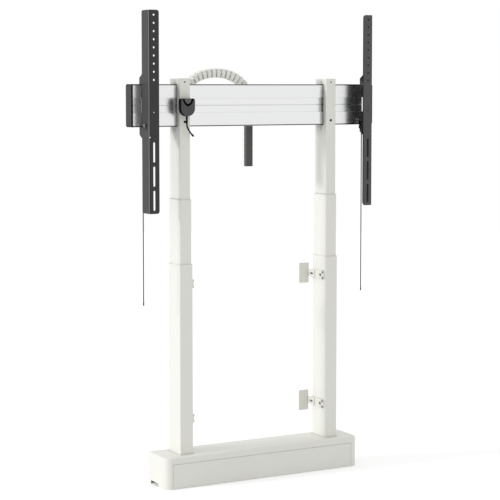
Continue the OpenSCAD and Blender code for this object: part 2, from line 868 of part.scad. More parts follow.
module strip() {
    difference() {
        union() {
            along_y(-strip_front, strip_t) translate([0, strip_bottom]) strip_face();
            along_x(0, strip_t) flange_outline();
        }
        bend_corner();
        for (z = [strip_bottom, strip_top]) flange_corner(z);
        for (i = [0:hole_count - 1])
            rod_y([hole_line, -strip_front - cut, strip_top - hole_edge - i * hole_pitch], hole_d,
                strip_t + 2 * cut);
        for (i = [0:slot_count - 1])
            slot_hole(hole_line, strip_bottom + slot_edge + i * slot_pitch, slot_w, slot_len);
        rod_y([hole_line, -strip_front - cut, lock_hole_z], lock_hole_d, strip_t + 2 * cut);
        rod_x([-cut, pivot_y, pivot_z], pivot_d + 2 * run, strip_t + 2 * cut);
        along_x(-cut, strip_t + 2 * cut) translate([pivot_y, pivot_z]) guide_slot();
        translate([0, -strip_front, relief_z]) rotate([0, 90, 45])
            cylinder(d = relief_d, h = 4 * strip_t, center = true);
    }
}

// Latch lever: hub, guide pin in front of it, tooth that rises into the bar's lower slot
module latch() {
    arm_top = bar_bottom - latch_gap;
    arm_low = arm_top - latch_arm_h;
    tooth_top = bar_bottom + latch_tooth_up;
    difference() {
        union() {
            along_x(latch_x, latch_t) {
                translate([pivot_y, pivot_z]) circle(hub_r);
                translate([pivot_y - guide_r, pivot_z]) circle(hub_r / 2);
                translate([pivot_y - guide_r, pivot_z - hub_r / 2]) square([guide_r, hub_r]);
                polygon([
                    [pivot_y - hub_r + 1, pivot_z - 2], [pivot_y + hub_r / 2, arm_low],
                    [latch_tail_y, arm_low], [latch_tail_y, arm_top], [latch_tooth[1], arm_top],
                    [latch_tooth[1], tooth_top], [latch_tooth[0], tooth_top],
                    [latch_tooth[0], arm_top], [-bar_front - latch_gap, arm_top],
                    [pivot_y + hub_r - 1, pivot_z]
                ]);
            }
            rod_x([-bolt_end_t, pivot_y - guide_r, pivot_z], guide_d, latch_x + latch_t + bolt_end_t);
        }
        rod_x([latch_x - cut, pivot_y, pivot_z], pivot_d + 2 * run, latch_t + 2 * cut);
    }
}

module latch_bolt() {
    end = latch_x + latch_t + clear;
    rod_x([-bolt_head_t, pivot_y, pivot_z], bolt_head_d, bolt_head_t);
    rod_x([-bolt_head_t, pivot_y, pivot_z], pivot_d, bolt_head_t + end);
    rod_x([end, pivot_y, pivot_z], bolt_head_d, bolt_end_t);
}

// Handset

// Inverted gothic arch: two equal arcs that meet in a point h below the top edge
module shield(w, h) {
    shift = (h * h - w * w / 4) / w;
    r = w / 2 + shift;
    intersection() {
        translate([shift, 0]) circle(r);
        translate([-shift, 0]) circle(r);
        translate([-w, -2 * h]) square([2 * w, 2 * h]);
    }
}

module handset_outline() {
    r = handset_w / 2;
    top = handset_h / 2;
    translate([0, r - top]) circle(r);
    translate([-r, r - top]) square([handset_w, handset_h - r - handset_r]);
    translate([handset_r - r, r - top]) square([handset_w - 2 * handset_r, handset_h - r]);
    for (x = [-1, 1]) translate([x * (r - handset_r), top - handset_r]) circle(handset_r);
}

// Half-width of the rocker's recess at the trunnions
recess_shift = (recess_h * recess_h - recess_w * recess_w / 4) / recess_w;
recess_half = sqrt(pow(recess_w / 2 + recess_shift, 2) - pow(trunnion_down, 2)) - recess_shift;

module trunnions(d, reach) {
    rod_x([-reach, trunnion_y, handset_h / 2 - trunnion_down], d, 2 * reach);
}

module at_handset() {
    translate([handset_x, 0, handset_z]) children();
}

module handset_body() {
    color(charcoal) at_handset() difference() {
        along_y(handset_front, handset_t) handset_outline();
        along_y(handset_front - cut, recess_depth + cut)
            translate([0, handset_h / 2]) {
                shield(recess_w, recess_h);
                translate([-recess_w / 2, 0]) square([recess_w, cut]);
            }
        trunnions(trunnion_d + 2 * run, recess_half + trunnion_in + clear);
    }
}

module handset_rocker() {
    thick = recess_depth - rocker_back_gap + rocker_proud;
    color(grey * 0.55) at_handset() {
        along_y(handset_front - rocker_proud, thick)
            translate([0, handset_h / 2 - rocker_top_gap]) shield(rocker_w, rocker_h);
        trunnions(trunnion_d, recess_half + trunnion_in);
    }
}

module handset_clip() {
    color(charcoal) translate([-half_span, 0, handset_z]) {
        along_y(handset_back, holder_clip_t) rounded([22, 30], 4);
        along_y(handset_back, holder_clip_t / 2) rounded([28, 20], 4);
    }
}

module handset_lead() {
    color(black) cord(lead_route, lead_d);
}

module lead_plug() {
    last = len(lead_route) - 1;
    t = heading(lead_route, last);
    color(black) translate(lead_route[last]) rotate([0, atan2(t[0], t[2]), 0]) rotate([-asin(t[1]), 0, 0])
        cylinder(d = lead_plug_d, h = lead_plug_len);
}

// Cable spine: links at equal steps along two quarter ellipses and two straight legs

function arch_a(angle) = angle > 90 ? arch_x - spine_left_x : spine_right_x - arch_x;
function arch_b(angle) = angle > 90 ? arch_drop_left : arch_drop_right;
function arch_turn(angle) =
    link_pitch * 180 / PI / norm([arch_a(angle) * sin(angle), arch_b(angle) * cos(angle)]);
function arch_step(angle) = arch_turn(angle - arch_turn(angle) / 2);
function arch_place(angle) = [
    arch_x + arch_a(angle) * cos(angle), arch_z - arch_b(angle) * (1 - sin(angle)),
    atan2(arch_a(angle) * sin(angle), -arch_b(angle) * cos(angle))
];
arch_links = [for (a = 180; a > 0; a = a - arch_step(a)) arch_place(a)];
left_leg = [for (i = [left_links:-1:1]) [spine_left_x, arch_z - arch_drop_left - i * link_pitch, 0]];
last_arch = arch_links[len(arch_links) - 1];
right_count = floor((last_arch[1] - holder_bottom - link_len) / link_pitch);
right_leg = [for (i = [1:right_count]) [spine_right_x, last_arch[1] - i * link_pitch, 180]];
links = concat(left_leg, arch_links, right_leg);

// One link: body with a cable channel open to the rear, and a round knuckle that meets the next link
module link(knuckle) {
    tip = link_pitch - link_len - clear;
    translate([0, 0, -link_len / 2]) linear_extrude(link_len) difference() {
        rounded([link_h, link_w], link_r);
        translate([-cable_w / 2, link_front - link_w / 2]) square([cable_w, link_w]);
    }
    if (knuckle) translate([0, (link_front - link_w) / 2, 0]) {
        cylinder(d = neck_d, h = link_len / 2 + tip - neck_d / 2);
        translate([0, 0, link_len / 2 + tip - neck_d / 2]) sphere(d = neck_d);
    }
}

module cable_spine() {
    color(white) for (i = [0:len(links) - 1])
        translate([links[i][0], spine_y, links[i][1]]) rotate([0, links[i][2], 0])
            link(i < len(links) - 1);
}

// Clip on the rear of the bar that holds the spine's first links
module spine_clip() {
    start = bar_back;
    front = spine_y - link_w / 2 - clear;
    side = link_h / 2 + clear;
    z = arch_z - arch_drop_left - 1.5 * link_pitch - spine_clip_h / 2;
    color(charcoal) {
        translate([spine_left_x - side - spine_clip_arm, start, z])
            cube([2 * (side + spine_clip_arm), front - start, spine_clip_h]);
        for (x = [-side - spine_clip_arm, side])
            translate([spine_left_x + x, front, z]) cube([spine_clip_arm, spine_clip_reach, spine_clip_h]);
    }
}

module cable_holder() {
    color(charcoal) translate([holder_x, bar_back, holder_bottom]) linear_extrude(holder_top - holder_bottom)
        difference() {
            translate([-holder_w / 2, 0]) square([holder_w, holder_d]);
            translate([holder_t - holder_w / 2, holder_t])
                square([holder_w - 2 * holder_t, holder_d]);
        }
}

// Wall brackets, on the inner side of the right column

module at_bracket(z) {
    translate([-outer_w / 2, 0, z]) children();
}

module arm_outline() {
    length = arm_back_y - arm_front_y;
    translate([arm_front_y, -arm_h / 2]) {
        square([length - arm_r, arm_h]);
        translate([0, arm_r]) square([length, arm_h - 2 * arm_r]);
        for (z = [arm_r, arm_h - arm_r]) translate([length - arm_r, z]) circle(arm_r);
    }
}

module wall_arm(z) {
    at_bracket(z) difference() {
        union() {
            translate([-clip_t, clip_y - clip_w / 2, -clip_h / 2]) cube([clip_t, clip_w, clip_h]);
            along_x(-arm_off - arm_t, arm_t) arm_outline();
            rod_x([-arm_off - arm_t / 2, arm_screw_y, 0], arm_boss_d, arm_off + arm_t / 2);
        }
        translate([-clip_t - cut, clip_y - clip_w, -clip_waist_h / 2])
            cube([clip_waist_d + cut, 2 * clip_w, clip_waist_h]);
        for (dz = [-1, 1])
            rod_x([-clip_t - cut, clip_y, dz * clip_screw_z], clip_screw_d + 2 * run, clip_t + 2 * cut);
        rod_x([-clip_t, arm_screw_y, 0], arm_screw_d + 2 * run, clip_t + cut);
        rod_x([-clip_t, tab_screw_y, 0], tab_screw_d + 2 * run, clip_t);
    }
}

// Wall plate: tab with a slot along the arm, and a flange turned away from the column to meet the wall
module wall_plate(z) {
    slot = [tab_screw_y - bracket_out - cut, tab_screw_y + bracket_in + cut];
    start = slot[0] - tab_slot_w / 2 - 4;
    flange_y = wall_y - arm_t;
    at_bracket(z) {
        along_x(-tab_x - arm_t, arm_t) difference() {
            translate([start, -tab_h / 2]) square([flange_y + arm_t / 2 - start, tab_h]);
            translate([slot[0], -tab_slot_w / 2]) square([slot[1] - slot[0], tab_slot_w]);
            for (y = slot) translate([y, 0]) circle(d = tab_slot_w);
        }
        along_y(flange_y, arm_t) translate([-tab_x - wall_plate_w / 2, 0])
            rounded([wall_plate_w, wall_plate_h], 2);
    }
}

// Screw along X with a flat round head, seated at x, reaching in towards the column
module side_screw(x, y, z, d, length) {
    rod_x([x, y, z], d, length);
    rod_x([x - screw_head_t, y, z], 1.8 * d, screw_head_t);
}

module wall_arm_screws() {
    color(steel) for (side = [-1, 1], z = [bracket_low, bracket_high]) at_column(side) at_bracket(z) {
        for (dz = [-1, 1])
            side_screw(-clip_t, clip_y, dz * clip_screw_z, clip_screw_d, clip_t + tube_t);
        side_screw(-arm_off - arm_t, arm_screw_y, 0, arm_screw_d, arm_off + arm_t + tube_t);
        side_screw(-tab_x - arm_t, tab_screw_y, 0, tab_screw_d, arm_t + fit + arm_t);
    }
}

// Sub-parts on the left and right

module left_gearbox() { color(steel) at_column(-1) gearbox(); }
module right_gearbox() { color(steel) at_column(1) gearbox(); }
module left_motor() { color(charcoal) at_column(-1) motor(); }
module right_motor() { color(charcoal) at_column(1) motor(); }
module left_drive_spindle() { color(steel) at_column(-1) drive_spindle(); }
module right_drive_spindle() { color(steel) at_column(1) drive_spindle(); }
module left_hollow_spindle() { color(steel) at_column(-1) hollow_spindle(); }
module right_hollow_spindle() { color(steel) at_column(1) hollow_spindle(); }
module left_outer_tube() { color(white) at_column(-1) outer_tube(); }
module right_outer_tube() { color(white) at_column(1) outer_tube(); }
module left_outer_collar() { color(nylon) at_column(-1) outer_collar(); }
module right_outer_collar() { color(nylon) at_column(1) outer_collar(); }
module left_mid_tube() { color(white) at_column(-1) tube(mid_bottom, mid_tube_top, mid, mid_r); }
module right_mid_tube() { color(white) at_column(1) tube(mid_bottom, mid_tube_top, mid, mid_r); }
module left_mid_collar() { color(nylon) at_column(-1) mid_collar(); }
module right_mid_collar() { color(nylon) at_column(1) mid_collar(); }
module left_mid_nut() { color(nylon) at_column(-1) mid_nut(); }
module right_mid_nut() { color(nylon) at_column(1) mid_nut(); }
module left_inner_tube() { color(white) at_column(-1) inner_tube(); }
module right_inner_tube() { color(white) at_column(1) inner_tube(); }
module left_inner_nut() { color(nylon) at_column(-1) inner_nut(); }
module right_inner_nut() { color(nylon) at_column(1) inner_nut(); }
module left_head_cap() { color(white) at_column(-1) head_cap(); }
module right_head_cap() { color(white) at_column(1) head_cap(); }
module left_end_cap() { color(charcoal) on_side(-1) end_cap(); }
module right_end_cap() { color(charcoal) on_side(1) end_cap(); }
module left_strip() { color(charcoal) at_strip(-1) strip(); }
module right_strip() { color(charcoal) at_strip(1) strip(); }
module left_latch() { color(charcoal) at_strip(-1) latch(); }
module right_latch() { color(charcoal) at_strip(1) latch(); }
module left_latch_bolt() { color(steel) at_strip(-1) latch_bolt(); }
module right_latch_bolt() { color(steel) at_strip(1) latch_bolt(); }
module left_pull_cord() { color(steel) at_strip(-1) cord(pull_route, pull_d); }
module right_pull_cord() { color(steel) at_strip(1) cord(pull_route, pull_d); }
module upper_left_wall_arm() { color(grey) at_column(-1) wall_arm(bracket_high); }
module lower_left_wall_arm() { color(grey) at_column(-1) wall_arm(bracket_low); }
module upper_right_wall_arm() { color(grey) at_column(1) wall_arm(bracket_high); }
module lower_right_wall_arm() { color(grey) at_column(1) wall_arm(bracket_low); }
module upper_left_wall_plate() { color(grey) at_column(-1) wall_plate(bracket_high); }
module lower_left_wall_plate() { color(grey) at_column(-1) wall_plate(bracket_low); }
module upper_right_wall_plate() { color(grey) at_column(1) wall_plate(bracket_high); }
module lower_right_wall_plate() { color(grey) at_column(1) wall_plate(bracket_low); }

module outer_collar() {
    collar(outer_tube_top, [outer_w, outer_d], tube_r, mid, mid_r);
}

module mid_collar() {
    collar(mid_tube_top, mid, mid_r, inner, inner_r);
}

base_plate();
base_cover();
front_panel();
base_screws();
control_box();
left_gearbox();
right_gearbox();
left_motor();
right_motor();
left_drive_spindle();
right_drive_spindle();
left_hollow_spindle();
right_hollow_spindle();
left_outer_tube();
right_outer_tube();
left_outer_collar();
right_outer_collar();
left_mid_tube();
right_mid_tube();
left_mid_collar();
right_mid_collar();
left_mid_nut();
right_mid_nut();
left_inner_tube();
right_inner_tube();
left_inner_nut();
right_inner_nut();
left_head_cap();
right_head_cap();
crossbar();
left_end_cap();
right_end_cap();
bar_clamp_screws();
left_strip();
right_strip();
left_latch();
right_latch();
left_latch_bolt();
right_latch_bolt();
left_pull_cord();
right_pull_cord();
handset_clip();
handset_body();
handset_rocker();
handset_lead();
lead_plug();
cable_spine();
spine_clip();
cable_holder();
upper_left_wall_arm();
lower_left_wall_arm();
upper_right_wall_arm();
lower_right_wall_arm();
upper_left_wall_plate();
lower_left_wall_plate();
upper_right_wall_plate();
lower_right_wall_plate();
wall_arm_screws();
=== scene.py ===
"""Looks of a floor-standing display lift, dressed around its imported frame."""
import logging
import math
from dataclasses import dataclass
from enum import Enum
from typing import Any

import bpy
import numpy as np
from numpy.typing import NDArray
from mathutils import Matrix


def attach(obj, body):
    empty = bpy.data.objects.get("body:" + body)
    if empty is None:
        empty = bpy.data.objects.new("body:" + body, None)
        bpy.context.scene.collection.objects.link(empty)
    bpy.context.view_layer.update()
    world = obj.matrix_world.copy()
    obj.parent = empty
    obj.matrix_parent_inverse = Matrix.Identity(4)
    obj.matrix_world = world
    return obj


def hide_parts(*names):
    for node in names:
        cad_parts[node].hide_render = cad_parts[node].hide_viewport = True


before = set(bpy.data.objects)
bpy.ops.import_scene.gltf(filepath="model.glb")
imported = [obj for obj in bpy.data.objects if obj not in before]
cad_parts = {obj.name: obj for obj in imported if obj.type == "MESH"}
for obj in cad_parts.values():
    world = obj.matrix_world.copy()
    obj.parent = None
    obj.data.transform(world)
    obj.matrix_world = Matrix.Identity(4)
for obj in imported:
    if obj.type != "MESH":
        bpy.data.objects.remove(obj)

LOG = logging.getLogger("display_lift")
Array = NDArray[np.float64]
Pair = tuple[float, float]
Triple = tuple[float, float, float]
Colour = Triple
Socket = bpy.types.NodeSocket
Tint = Colour | Socket

AXIS_X, AXIS_Y, AXIS_Z = 0, 1, 2
FULL_TURN = 2.0 * math.pi
MM_PER_M = 1000.0
# Places of the colour sockets on a mix node
MIX_A, MIX_B, MIX_RESULT = 6, 7, 2


class Side(Enum):
    """The two halves of the lift, seen from the front."""

    LEFT = -1
    RIGHT = 1

    @property
    def word(self) -> str:
        """The side's name as it stands in node names."""
        return self.name.lower()


class Level(Enum):
    """The two rows of wall brackets."""

    UPPER = "upper"
    LOWER = "lower"


SIDES: tuple[Side, ...] = (Side.LEFT, Side.RIGHT)


# Shader trees


class Graph:
    """The node tree of a material or a world, built one node at a time.

    Fields:
        noise_middle: the range in which most of a noise lies.
        plane_softness: half width of the step at a plane, in metres.
        own_samples, scene_samples: looks round a point for its own walls, and for all walls.
        edge_samples: looks round a point for a softened edge.
    """

    noise_middle: Pair = (0.3, 0.7)
    plane_softness: float = 0.0001
    own_samples: int = 8
    scene_samples: int = 16
    edge_samples: int = 4

    def __init__(self, owner: bpy.types.Material | bpy.types.World, end: str = "OutputMaterial") -> None:
        """Starts an empty tree.

        Args:
            owner: what the tree belongs to.
            end: type of its output node after "ShaderNode".
        """
        owner.use_nodes = True
        self.owner = owner
        self.tree = owner.node_tree
        self.tree.nodes.clear()
        self.output = self.tree.nodes.new("ShaderNode" + end)

    @classmethod
    def named(cls, name: str) -> "Graph":
        """Starts the tree of a new material."""
        return cls(bpy.data.materials.new(name))

    def add(self, kind: str, settings: dict[str, Any] | None = None, **sockets: Any) -> bpy.types.Node:
        """Adds a node.

        Args:
            kind: the node type after "ShaderNode".
            settings: properties of the node itself.
            sockets: input values or output sockets to link, by socket name with _ for spaces.

        Returns:
            The new node.
        """
        node = self.tree.nodes.new("ShaderNode" + kind)
        for key, value in (settings or {}).items():
            setattr(node, key, value)
        for key, value in sockets.items():
            self.plug(node.inputs[key.replace("_", " ")], value)
        return node

    def plug(self, socket: Socket, value: Any) -> None:
        """Links an output socket to an input, or sets the input's own value.

        Args:
            socket: the input.
            value: what it gets.
        """
        if isinstance(value, Socket):
            self.tree.links.new(value, socket)
        else:
            socket.default_value = value

    def blend(self, factor: Socket, first: Tint, second: Tint) -> Socket:
        """Mixes two colours.

        Args:
            factor: where the second colour shows.
            first, second: linear colours, or colour sockets, at factor 0 and 1.

        Returns:
            The mixed colour's socket.
        """
        node = self.add("Mix", {"data_type": "RGBA"})
        self.plug(node.inputs[0], factor)
        for slot, tint in ((MIX_A, first), (MIX_B, second)):
            self.plug(node.inputs[slot], (*tint, 1.0) if isinstance(tint, tuple) else tint)
        return node.outputs[MIX_RESULT]

    def sum(self, operation: str, *values: Any) -> Socket:
        """Does one sum on numbers or sockets.

        Args:
            operation: the sum's name, such as ADD or COMPARE.
            values: its terms, in order.

        Returns:
            The result's socket.
        """
        node = self.add("Math", {"operation": operation})
        for slot, value in enumerate(values):
            self.plug(node.inputs[slot], value)
        return node.outputs["Value"]

    def object_place(self, scale: Triple = (1.0, 1.0, 1.0)) -> Socket:
        """Object coordinates in metres, scaled along x, y and z."""
        place = self.add("TexCoord").outputs["Object"]
        return self.add("Mapping", Vector=place, Scale=scale).outputs["Vector"]

    def along(self, axis: int) -> Socket:
        """Place along one axis in metres."""
        return self.add("SeparateXYZ", Vector=self.add("TexCoord").outputs["Object"]).outputs[axis]

    def beyond(self, axis: int, limit: float, both_ways: bool = False) -> Socket:
        """Marks what lies past a plane across one axis.

        Args:
            axis: the axis.
            limit: where the plane stands, in metres.
            both_ways: whether the mirrored plane counts too.

        Returns:
            One past the plane, nought before it, with a soft step between.
        """
        value = self.along(axis)
        if both_ways:
            value = self.sum("ABSOLUTE", value)
        step = math.copysign(self.plane_softness, limit)
        node = self.add("MapRange", Value=value, From_Min=limit - step, From_Max=limit + step)
        return node.outputs["Result"]

    def openness(self, reach: float, own: bool = True) -> Socket:
        """How open a point lies: nought deep in a groove, one on a free face.

        Args:
            reach: how far round it a point looks for walls, in metres.
            own: whether only the piece's own walls count.

        Returns:
            The share that is open.
        """
        settings = {"samples": self.own_samples if own else self.scene_samples, "only_local": own}
        return self.add("AmbientOcclusion", settings, Distance=reach).outputs["AO"]

    def noise(self, place: Socket, scale: float, detail: float = 3.0) -> Socket:
        """Noise of a given frequency per metre."""
        return self.add("TexNoise", Vector=place, Scale=scale, Detail=detail).outputs["Fac"]

    def close(self, surface: Socket) -> Any:
        """Joins the surface to the output and returns the tree's owner."""
        self.plug(self.output.inputs["Surface"], surface)
        return self.owner


def shade(colour: Colour, factor: float) -> Colour:
    """Scales a linear colour."""
    return (colour[0] * factor, colour[1] * factor, colour[2] * factor)


# Finishes


@dataclass(frozen=True)
class Finish:
    """A named finish in one linear colour.

    Fields:
        spread: how far the roughness wanders, down and up.
        faded: share of the colour that is left where a noise fades it most.
        bump: how much of the relief shows.
        depth: height of the relief in metres.
        edge: radius on sharp edges in metres.
    """

    name: str
    colour: Colour
    roughness: float
    spread: Pair = (0.0, 0.0)
    faded: float = 1.0
    bump: float = 0.0
    depth: float = 0.0
    edge: float = 0.0

    def material(self) -> bpy.types.Material:
        """Builds the finish's shader tree.

        Returns:
            The new material.
        """
        graph = Graph.named(self.name)
        body = graph.add("BsdfPrincipled", **self.inputs(graph))
        return graph.close(body.outputs["BSDF"])

    def inputs(self, graph: Graph) -> dict[str, Any]:
        """What the surface shader gets, by input name with _ for spaces."""
        raise NotImplementedError

    def worn(self, graph: Graph, noise: Socket) -> Socket:
        """The colour, faded where a noise is low."""
        return graph.blend(noise, shade(self.colour, self.faded), self.colour)

    def rough(self, graph: Graph, noise: Socket) -> Socket:
        """Stretches the middle of a noise over the roughness and its spread.

        Args:
            graph: the tree to add to.
            noise: the noise.

        Returns:
            The roughness.
        """
        least, most = graph.noise_middle
        less, more = self.spread
        node = graph.add("MapRange", Value=noise, From_Min=least, From_Max=most,
                         To_Min=self.roughness - less, To_Max=self.roughness + more)
        return node.outputs["Result"]

    def relief(self, graph: Graph, height: Socket) -> Socket:
        """Raises a relief, over edges that are softened by a small radius.

        Args:
            graph: the tree to add to.
            height: the relief's height, 0 to 1.

        Returns:
            The normal.
        """
        bump = graph.add("Bump", Strength=self.bump, Distance=self.depth, Height=height)
        if self.edge > 0.0:
            soft = graph.add("Bevel", {"samples": graph.edge_samples}, Radius=self.edge)
            graph.plug(bump.inputs["Normal"], soft.outputs["Normal"])
        return bump.outputs["Normal"]


@dataclass(frozen=True)
class PowderCoat(Finish):
    """Baked powder paint: a fine orange peel with slow drifts of tone.

    Fields:
        grain: size of the peel in metres.
        patches: frequency of the tone's drift, per metre.
        gloss: strength of its mirror layer.
        corner: reach within which neighbours put painted shade on faces that look to the sides, in metres.
        side_shade: share of the colour that is left where that painted shade is deepest.
        falloff: power of the openness that sets the painted shade.
    """

    spread: Pair = (0.05, 0.05)
    faded: float = 0.97
    bump: float = 0.35
    depth: float = 0.00006
    edge: float = 0.0008
    grain: float = 0.0012
    patches: float = 7.0
    gloss: float = 0.5
    corner: float = 0.0
    side_shade: float = 0.2
    falloff: float = 1.5

    def inputs(self, graph: Graph) -> dict[str, Any]:
        """Takes colour from broad noise, and roughness and relief from fine noise.

        Args:
            graph: the tree to add to.

        Returns:
            The shader's inputs by name.
        """
        place = graph.object_place()
        peel = graph.noise(place, 1.0 / self.grain)
        broad = graph.noise(place, self.patches, detail=2.0)
        return {
            "Base_Color": self.tint(graph, broad),
            "Roughness": self.rough(graph, peel),
            "Specular_IOR_Level": self.mirror(graph),
            "Normal": self.relief(graph, peel),
        }

    def mirror(self, graph: Graph) -> float | Socket:
        """Strength of the mirror layer, as a number or a socket."""
        return self.gloss

    def tint(self, graph: Graph, broad: Socket) -> Socket:
        """The paint's tone, with painted shade near neighbours on faces that look to the sides.

        Args:
            graph: the tree to add to.
            broad: a slow noise.

        Returns:
            The colour.
        """
        unshaded = self.worn(graph, broad)
        if self.corner <= 0.0:
            return unshaded
        # painted shade: faces that look to the sides darken where neighbours close them in
        free = graph.sum("POWER", graph.openness(self.corner, own=False), self.falloff)
        normal = graph.add("NewGeometry").outputs["True Normal"]
        sideways = graph.add("SeparateXYZ", Vector=normal).outputs["X"]
        front = graph.sum("SUBTRACT", 1.0, graph.sum("ABSOLUTE", sideways))
        return graph.blend(graph.sum("MAXIMUM", free, front), shade(self.colour, self.side_shade), unshaded)


@dataclass(frozen=True)
class FoldedCoat(PowderCoat):
    """Powder paint on a folded strip, with painted shade on the inner side of the fold and a painted
    highlight along its outer edge.

    Fields:
        inner: linear colour on the inner side, a painted shade.
        lit: linear colour of the inner side beside the bright bar.
        lit_z: middle and half height of that stretch.
        inner_x: middle and half width of the inner side, as a distance from the lift's middle.
        inner_y: middle and half depth of the inner side.
        fold: linear colour along the fold's outer edge, a painted highlight.
        fold_x, fold_y: middle and half width of that edge.
        shine: the mirror layer outside the fold, as a share of the gloss; inside it is less by one, which
            keeps the painted shade there dark.
    """

    inner: Colour = (0.014, 0.014, 0.0145)
    lit: Colour = (0.042, 0.042, 0.0425)
    lit_z: Pair = (1.205, 0.085)
    inner_x: Pair = (0.3900, 0.0192)
    inner_y: Pair = (-0.0297, 0.0396)
    fold: Colour = (0.13, 0.13, 0.13)
    fold_x: Pair = (0.4098, 0.0022)
    fold_y: Pair = (-0.0694, 0.0055)
    shine: float = 1.15

    def within(self, graph: Graph, x: Pair, y: Pair) -> Socket:
        """Marks an upright band on both sides of the lift.

        Args:
            graph: the tree to add to.
            x: middle and half width of the band, as a distance from the lift's middle.
            y: middle and half depth of the band.

        Returns:
            One in the band, nought elsewhere.
        """
        across = graph.sum("COMPARE", graph.sum("ABSOLUTE", graph.along(AXIS_X)), *x)
        return graph.sum("MULTIPLY", across, graph.sum("COMPARE", graph.along(AXIS_Y), *y))

    def mirror(self, graph: Graph) -> float | Socket:
        """The mirror layer, weak on the inner side so that its painted shade stays dark."""
        inside = self.within(graph, self.inner_x, self.inner_y)
        return graph.sum("MULTIPLY", graph.sum("SUBTRACT", self.shine, inside), self.gloss)

    def tint(self, graph: Graph, broad: Socket) -> Socket:
        """The outer tone, the painted shade inside the fold and the painted highlight along its edge.

        Args:
            graph: the tree to add to.
            broad: a slow noise.

        Returns:
            The colour.
        """
        outside = super().tint(graph, broad)
        # painted highlight along the fold's outer edge
        fold_highlight = graph.blend(self.within(graph, self.fold_x, self.fold_y), outside, self.fold)
        # painted shade inside the fold, with painted light beside the bar
        beside = graph.sum("COMPARE", graph.along(AXIS_Z), *self.lit_z)
        inside = graph.blend(beside, self.inner, self.lit)
        return graph.blend(self.within(graph, self.inner_x, self.inner_y), fold_highlight, inside)


@dataclass(frozen=True)
class Anodised(Finish):
    """Drawn and anodised alloy: fine die lines that run along x, with painted shade in its edge grooves and
    corners.

    Fields:
        line: spacing of the die lines in metres.
        stretch: frequency of the lines along x, per metre.
        patches: frequency of the clouds in the anodic layer, per metre.
        corner: how far round it a point looks for walls, in metres.
        cornered, grooved: share of the colour that is left by the painted shade in corners and in the
            grooves.
        mid: height of the bar's middle.
        groove_z: distance from there to the middle of a groove, and half its height.
        groove_y: place of the middle of a groove, and half its depth.
    """

    spread: Pair = (0.01, 0.02)
    faded: float = 0.96
    bump: float = 0.04
    depth: float = 0.0000015
    edge: float = 0.0005
    line: float = 0.0009
    stretch: float = 1.2
    patches: float = 9.0
    corner: float = 0.004
    corner_shade: float = 0.88
    grooved: float = 0.08
    mid: float = 1.212
    groove_z: Pair = (0.0649, 0.0017)
    groove_y: Pair = (-0.0121, 0.0027)

    def inputs(self, graph: Graph) -> dict[str, Any]:
        """Takes the lines from noise stretched along x, and the clouds from slow noise.

        Args:
            graph: the tree to add to.

        Returns:
            The shader's inputs by name.
        """
        fine = 1.0 / self.line
        lines = graph.noise(graph.object_place((self.stretch, fine, fine)), 1.0, detail=4.0)
        clear = self.worn(graph, graph.noise(graph.object_place(), self.patches, detail=2.0))
        # painted shade in corners
        face = graph.blend(graph.openness(self.corner), shade(self.colour, self.corner_shade), clear)
        return {
            # painted shade in the edge grooves
            "Base_Color": graph.blend(self.groove(graph), face, shade(self.colour, self.grooved)),
            "Metallic": 1.0,
            "Roughness": self.rough(graph, lines),
            "Normal": self.relief(graph, lines),
        }

    def groove(self, graph: Graph) -> Socket:
        """Marks the grooves along the upper and lower edge, which get painted shade.

        Args:
            graph: the tree to add to.

        Returns:
            One in a groove, nought elsewhere.
        """
        height = graph.sum("ABSOLUTE", graph.sum("SUBTRACT", graph.along(AXIS_Z), self.mid))
        level = graph.sum("COMPARE", height, *self.groove_z)
        return graph.sum("MULTIPLY", level, graph.sum("COMPARE", graph.along(AXIS_Y), *self.groove_y))


@dataclass(frozen=True)
class Moulded(Finish):
    """Moulded plastic with a spark-eroded grain.

    Fields:
        grain: size of the grain in metres.
        patches: frequency of the flow marks, per metre.
        gloss: strength of its mirror layer.
        crevice: reach within which gaps get painted shade, in metres.
        crevice_shade: share of the colour that is left in that painted shade.
    """

    spread: Pair = (0.04, 0.06)
    faded: float = 0.95
    bump: float = 0.4
    depth: float = 0.00004
    edge: float = 0.0007
    grain: float = 0.0006
    patches: float = 30.0
    gloss: float = 0.5
    crevice: float = 0.0
    crevice_shade: float = 0.6

    def inputs(self, graph: Graph) -> dict[str, Any]:
        """Takes the relief from cells, and tone and roughness from a slow noise.

        Args:
            graph: the tree to add to.

        Returns:
            The shader's inputs by name.
        """
        place = graph.object_place()
        cells = graph.add("TexVoronoi", Vector=place, Scale=1.0 / self.grain).outputs["Distance"]
        flow = graph.noise(place, self.patches)
        return {
            "Base_Color": self.tint(graph, flow),
            "Roughness": self.rough(graph, flow),
            "Specular_IOR_Level": self.gloss,
            "Normal": self.relief(graph, cells),
        }

    def tint(self, graph: Graph, flow: Socket) -> Socket:
        """The plastic's tone, which wanders with its flow in the mould, with painted shade in its gaps.

        Args:
            graph: the tree to add to.
            flow: a slow noise.

        Returns:
            The colour.
        """
        open_tone = self.worn(graph, flow)
        if self.crevice <= 0.0:
            return open_tone
        # painted shade in gaps
        return graph.blend(graph.openness(self.crevice), shade(self.colour, self.crevice_shade), open_tone)


@dataclass(frozen=True)
class TwoTone(Moulded):
    """Moulded plastic whose outermost skin on one axis has a second colour.

    Fields:
        face: linear colour of that skin.
        face_faded: share of it that is left where it fades most.
        axis: the axis.
        limit: where the skin begins, in metres.
        both_ways: whether the mirrored side has the skin too.
    """

    faded: float = 0.93
    face: Colour = (0.1, 0.1, 0.1)
    face_faded: float = 0.96
    axis: int = AXIS_Y
    limit: float = 0.0
    both_ways: bool = False

    def tint(self, graph: Graph, flow: Socket) -> Socket:
        """The body's tone, or the face's tone beyond the limit."""
        return graph.blend(graph.beyond(self.axis, self.limit, self.both_ways), self.worn(graph, flow),
                           graph.blend(flow, shade(self.face, self.face_faded), self.face))


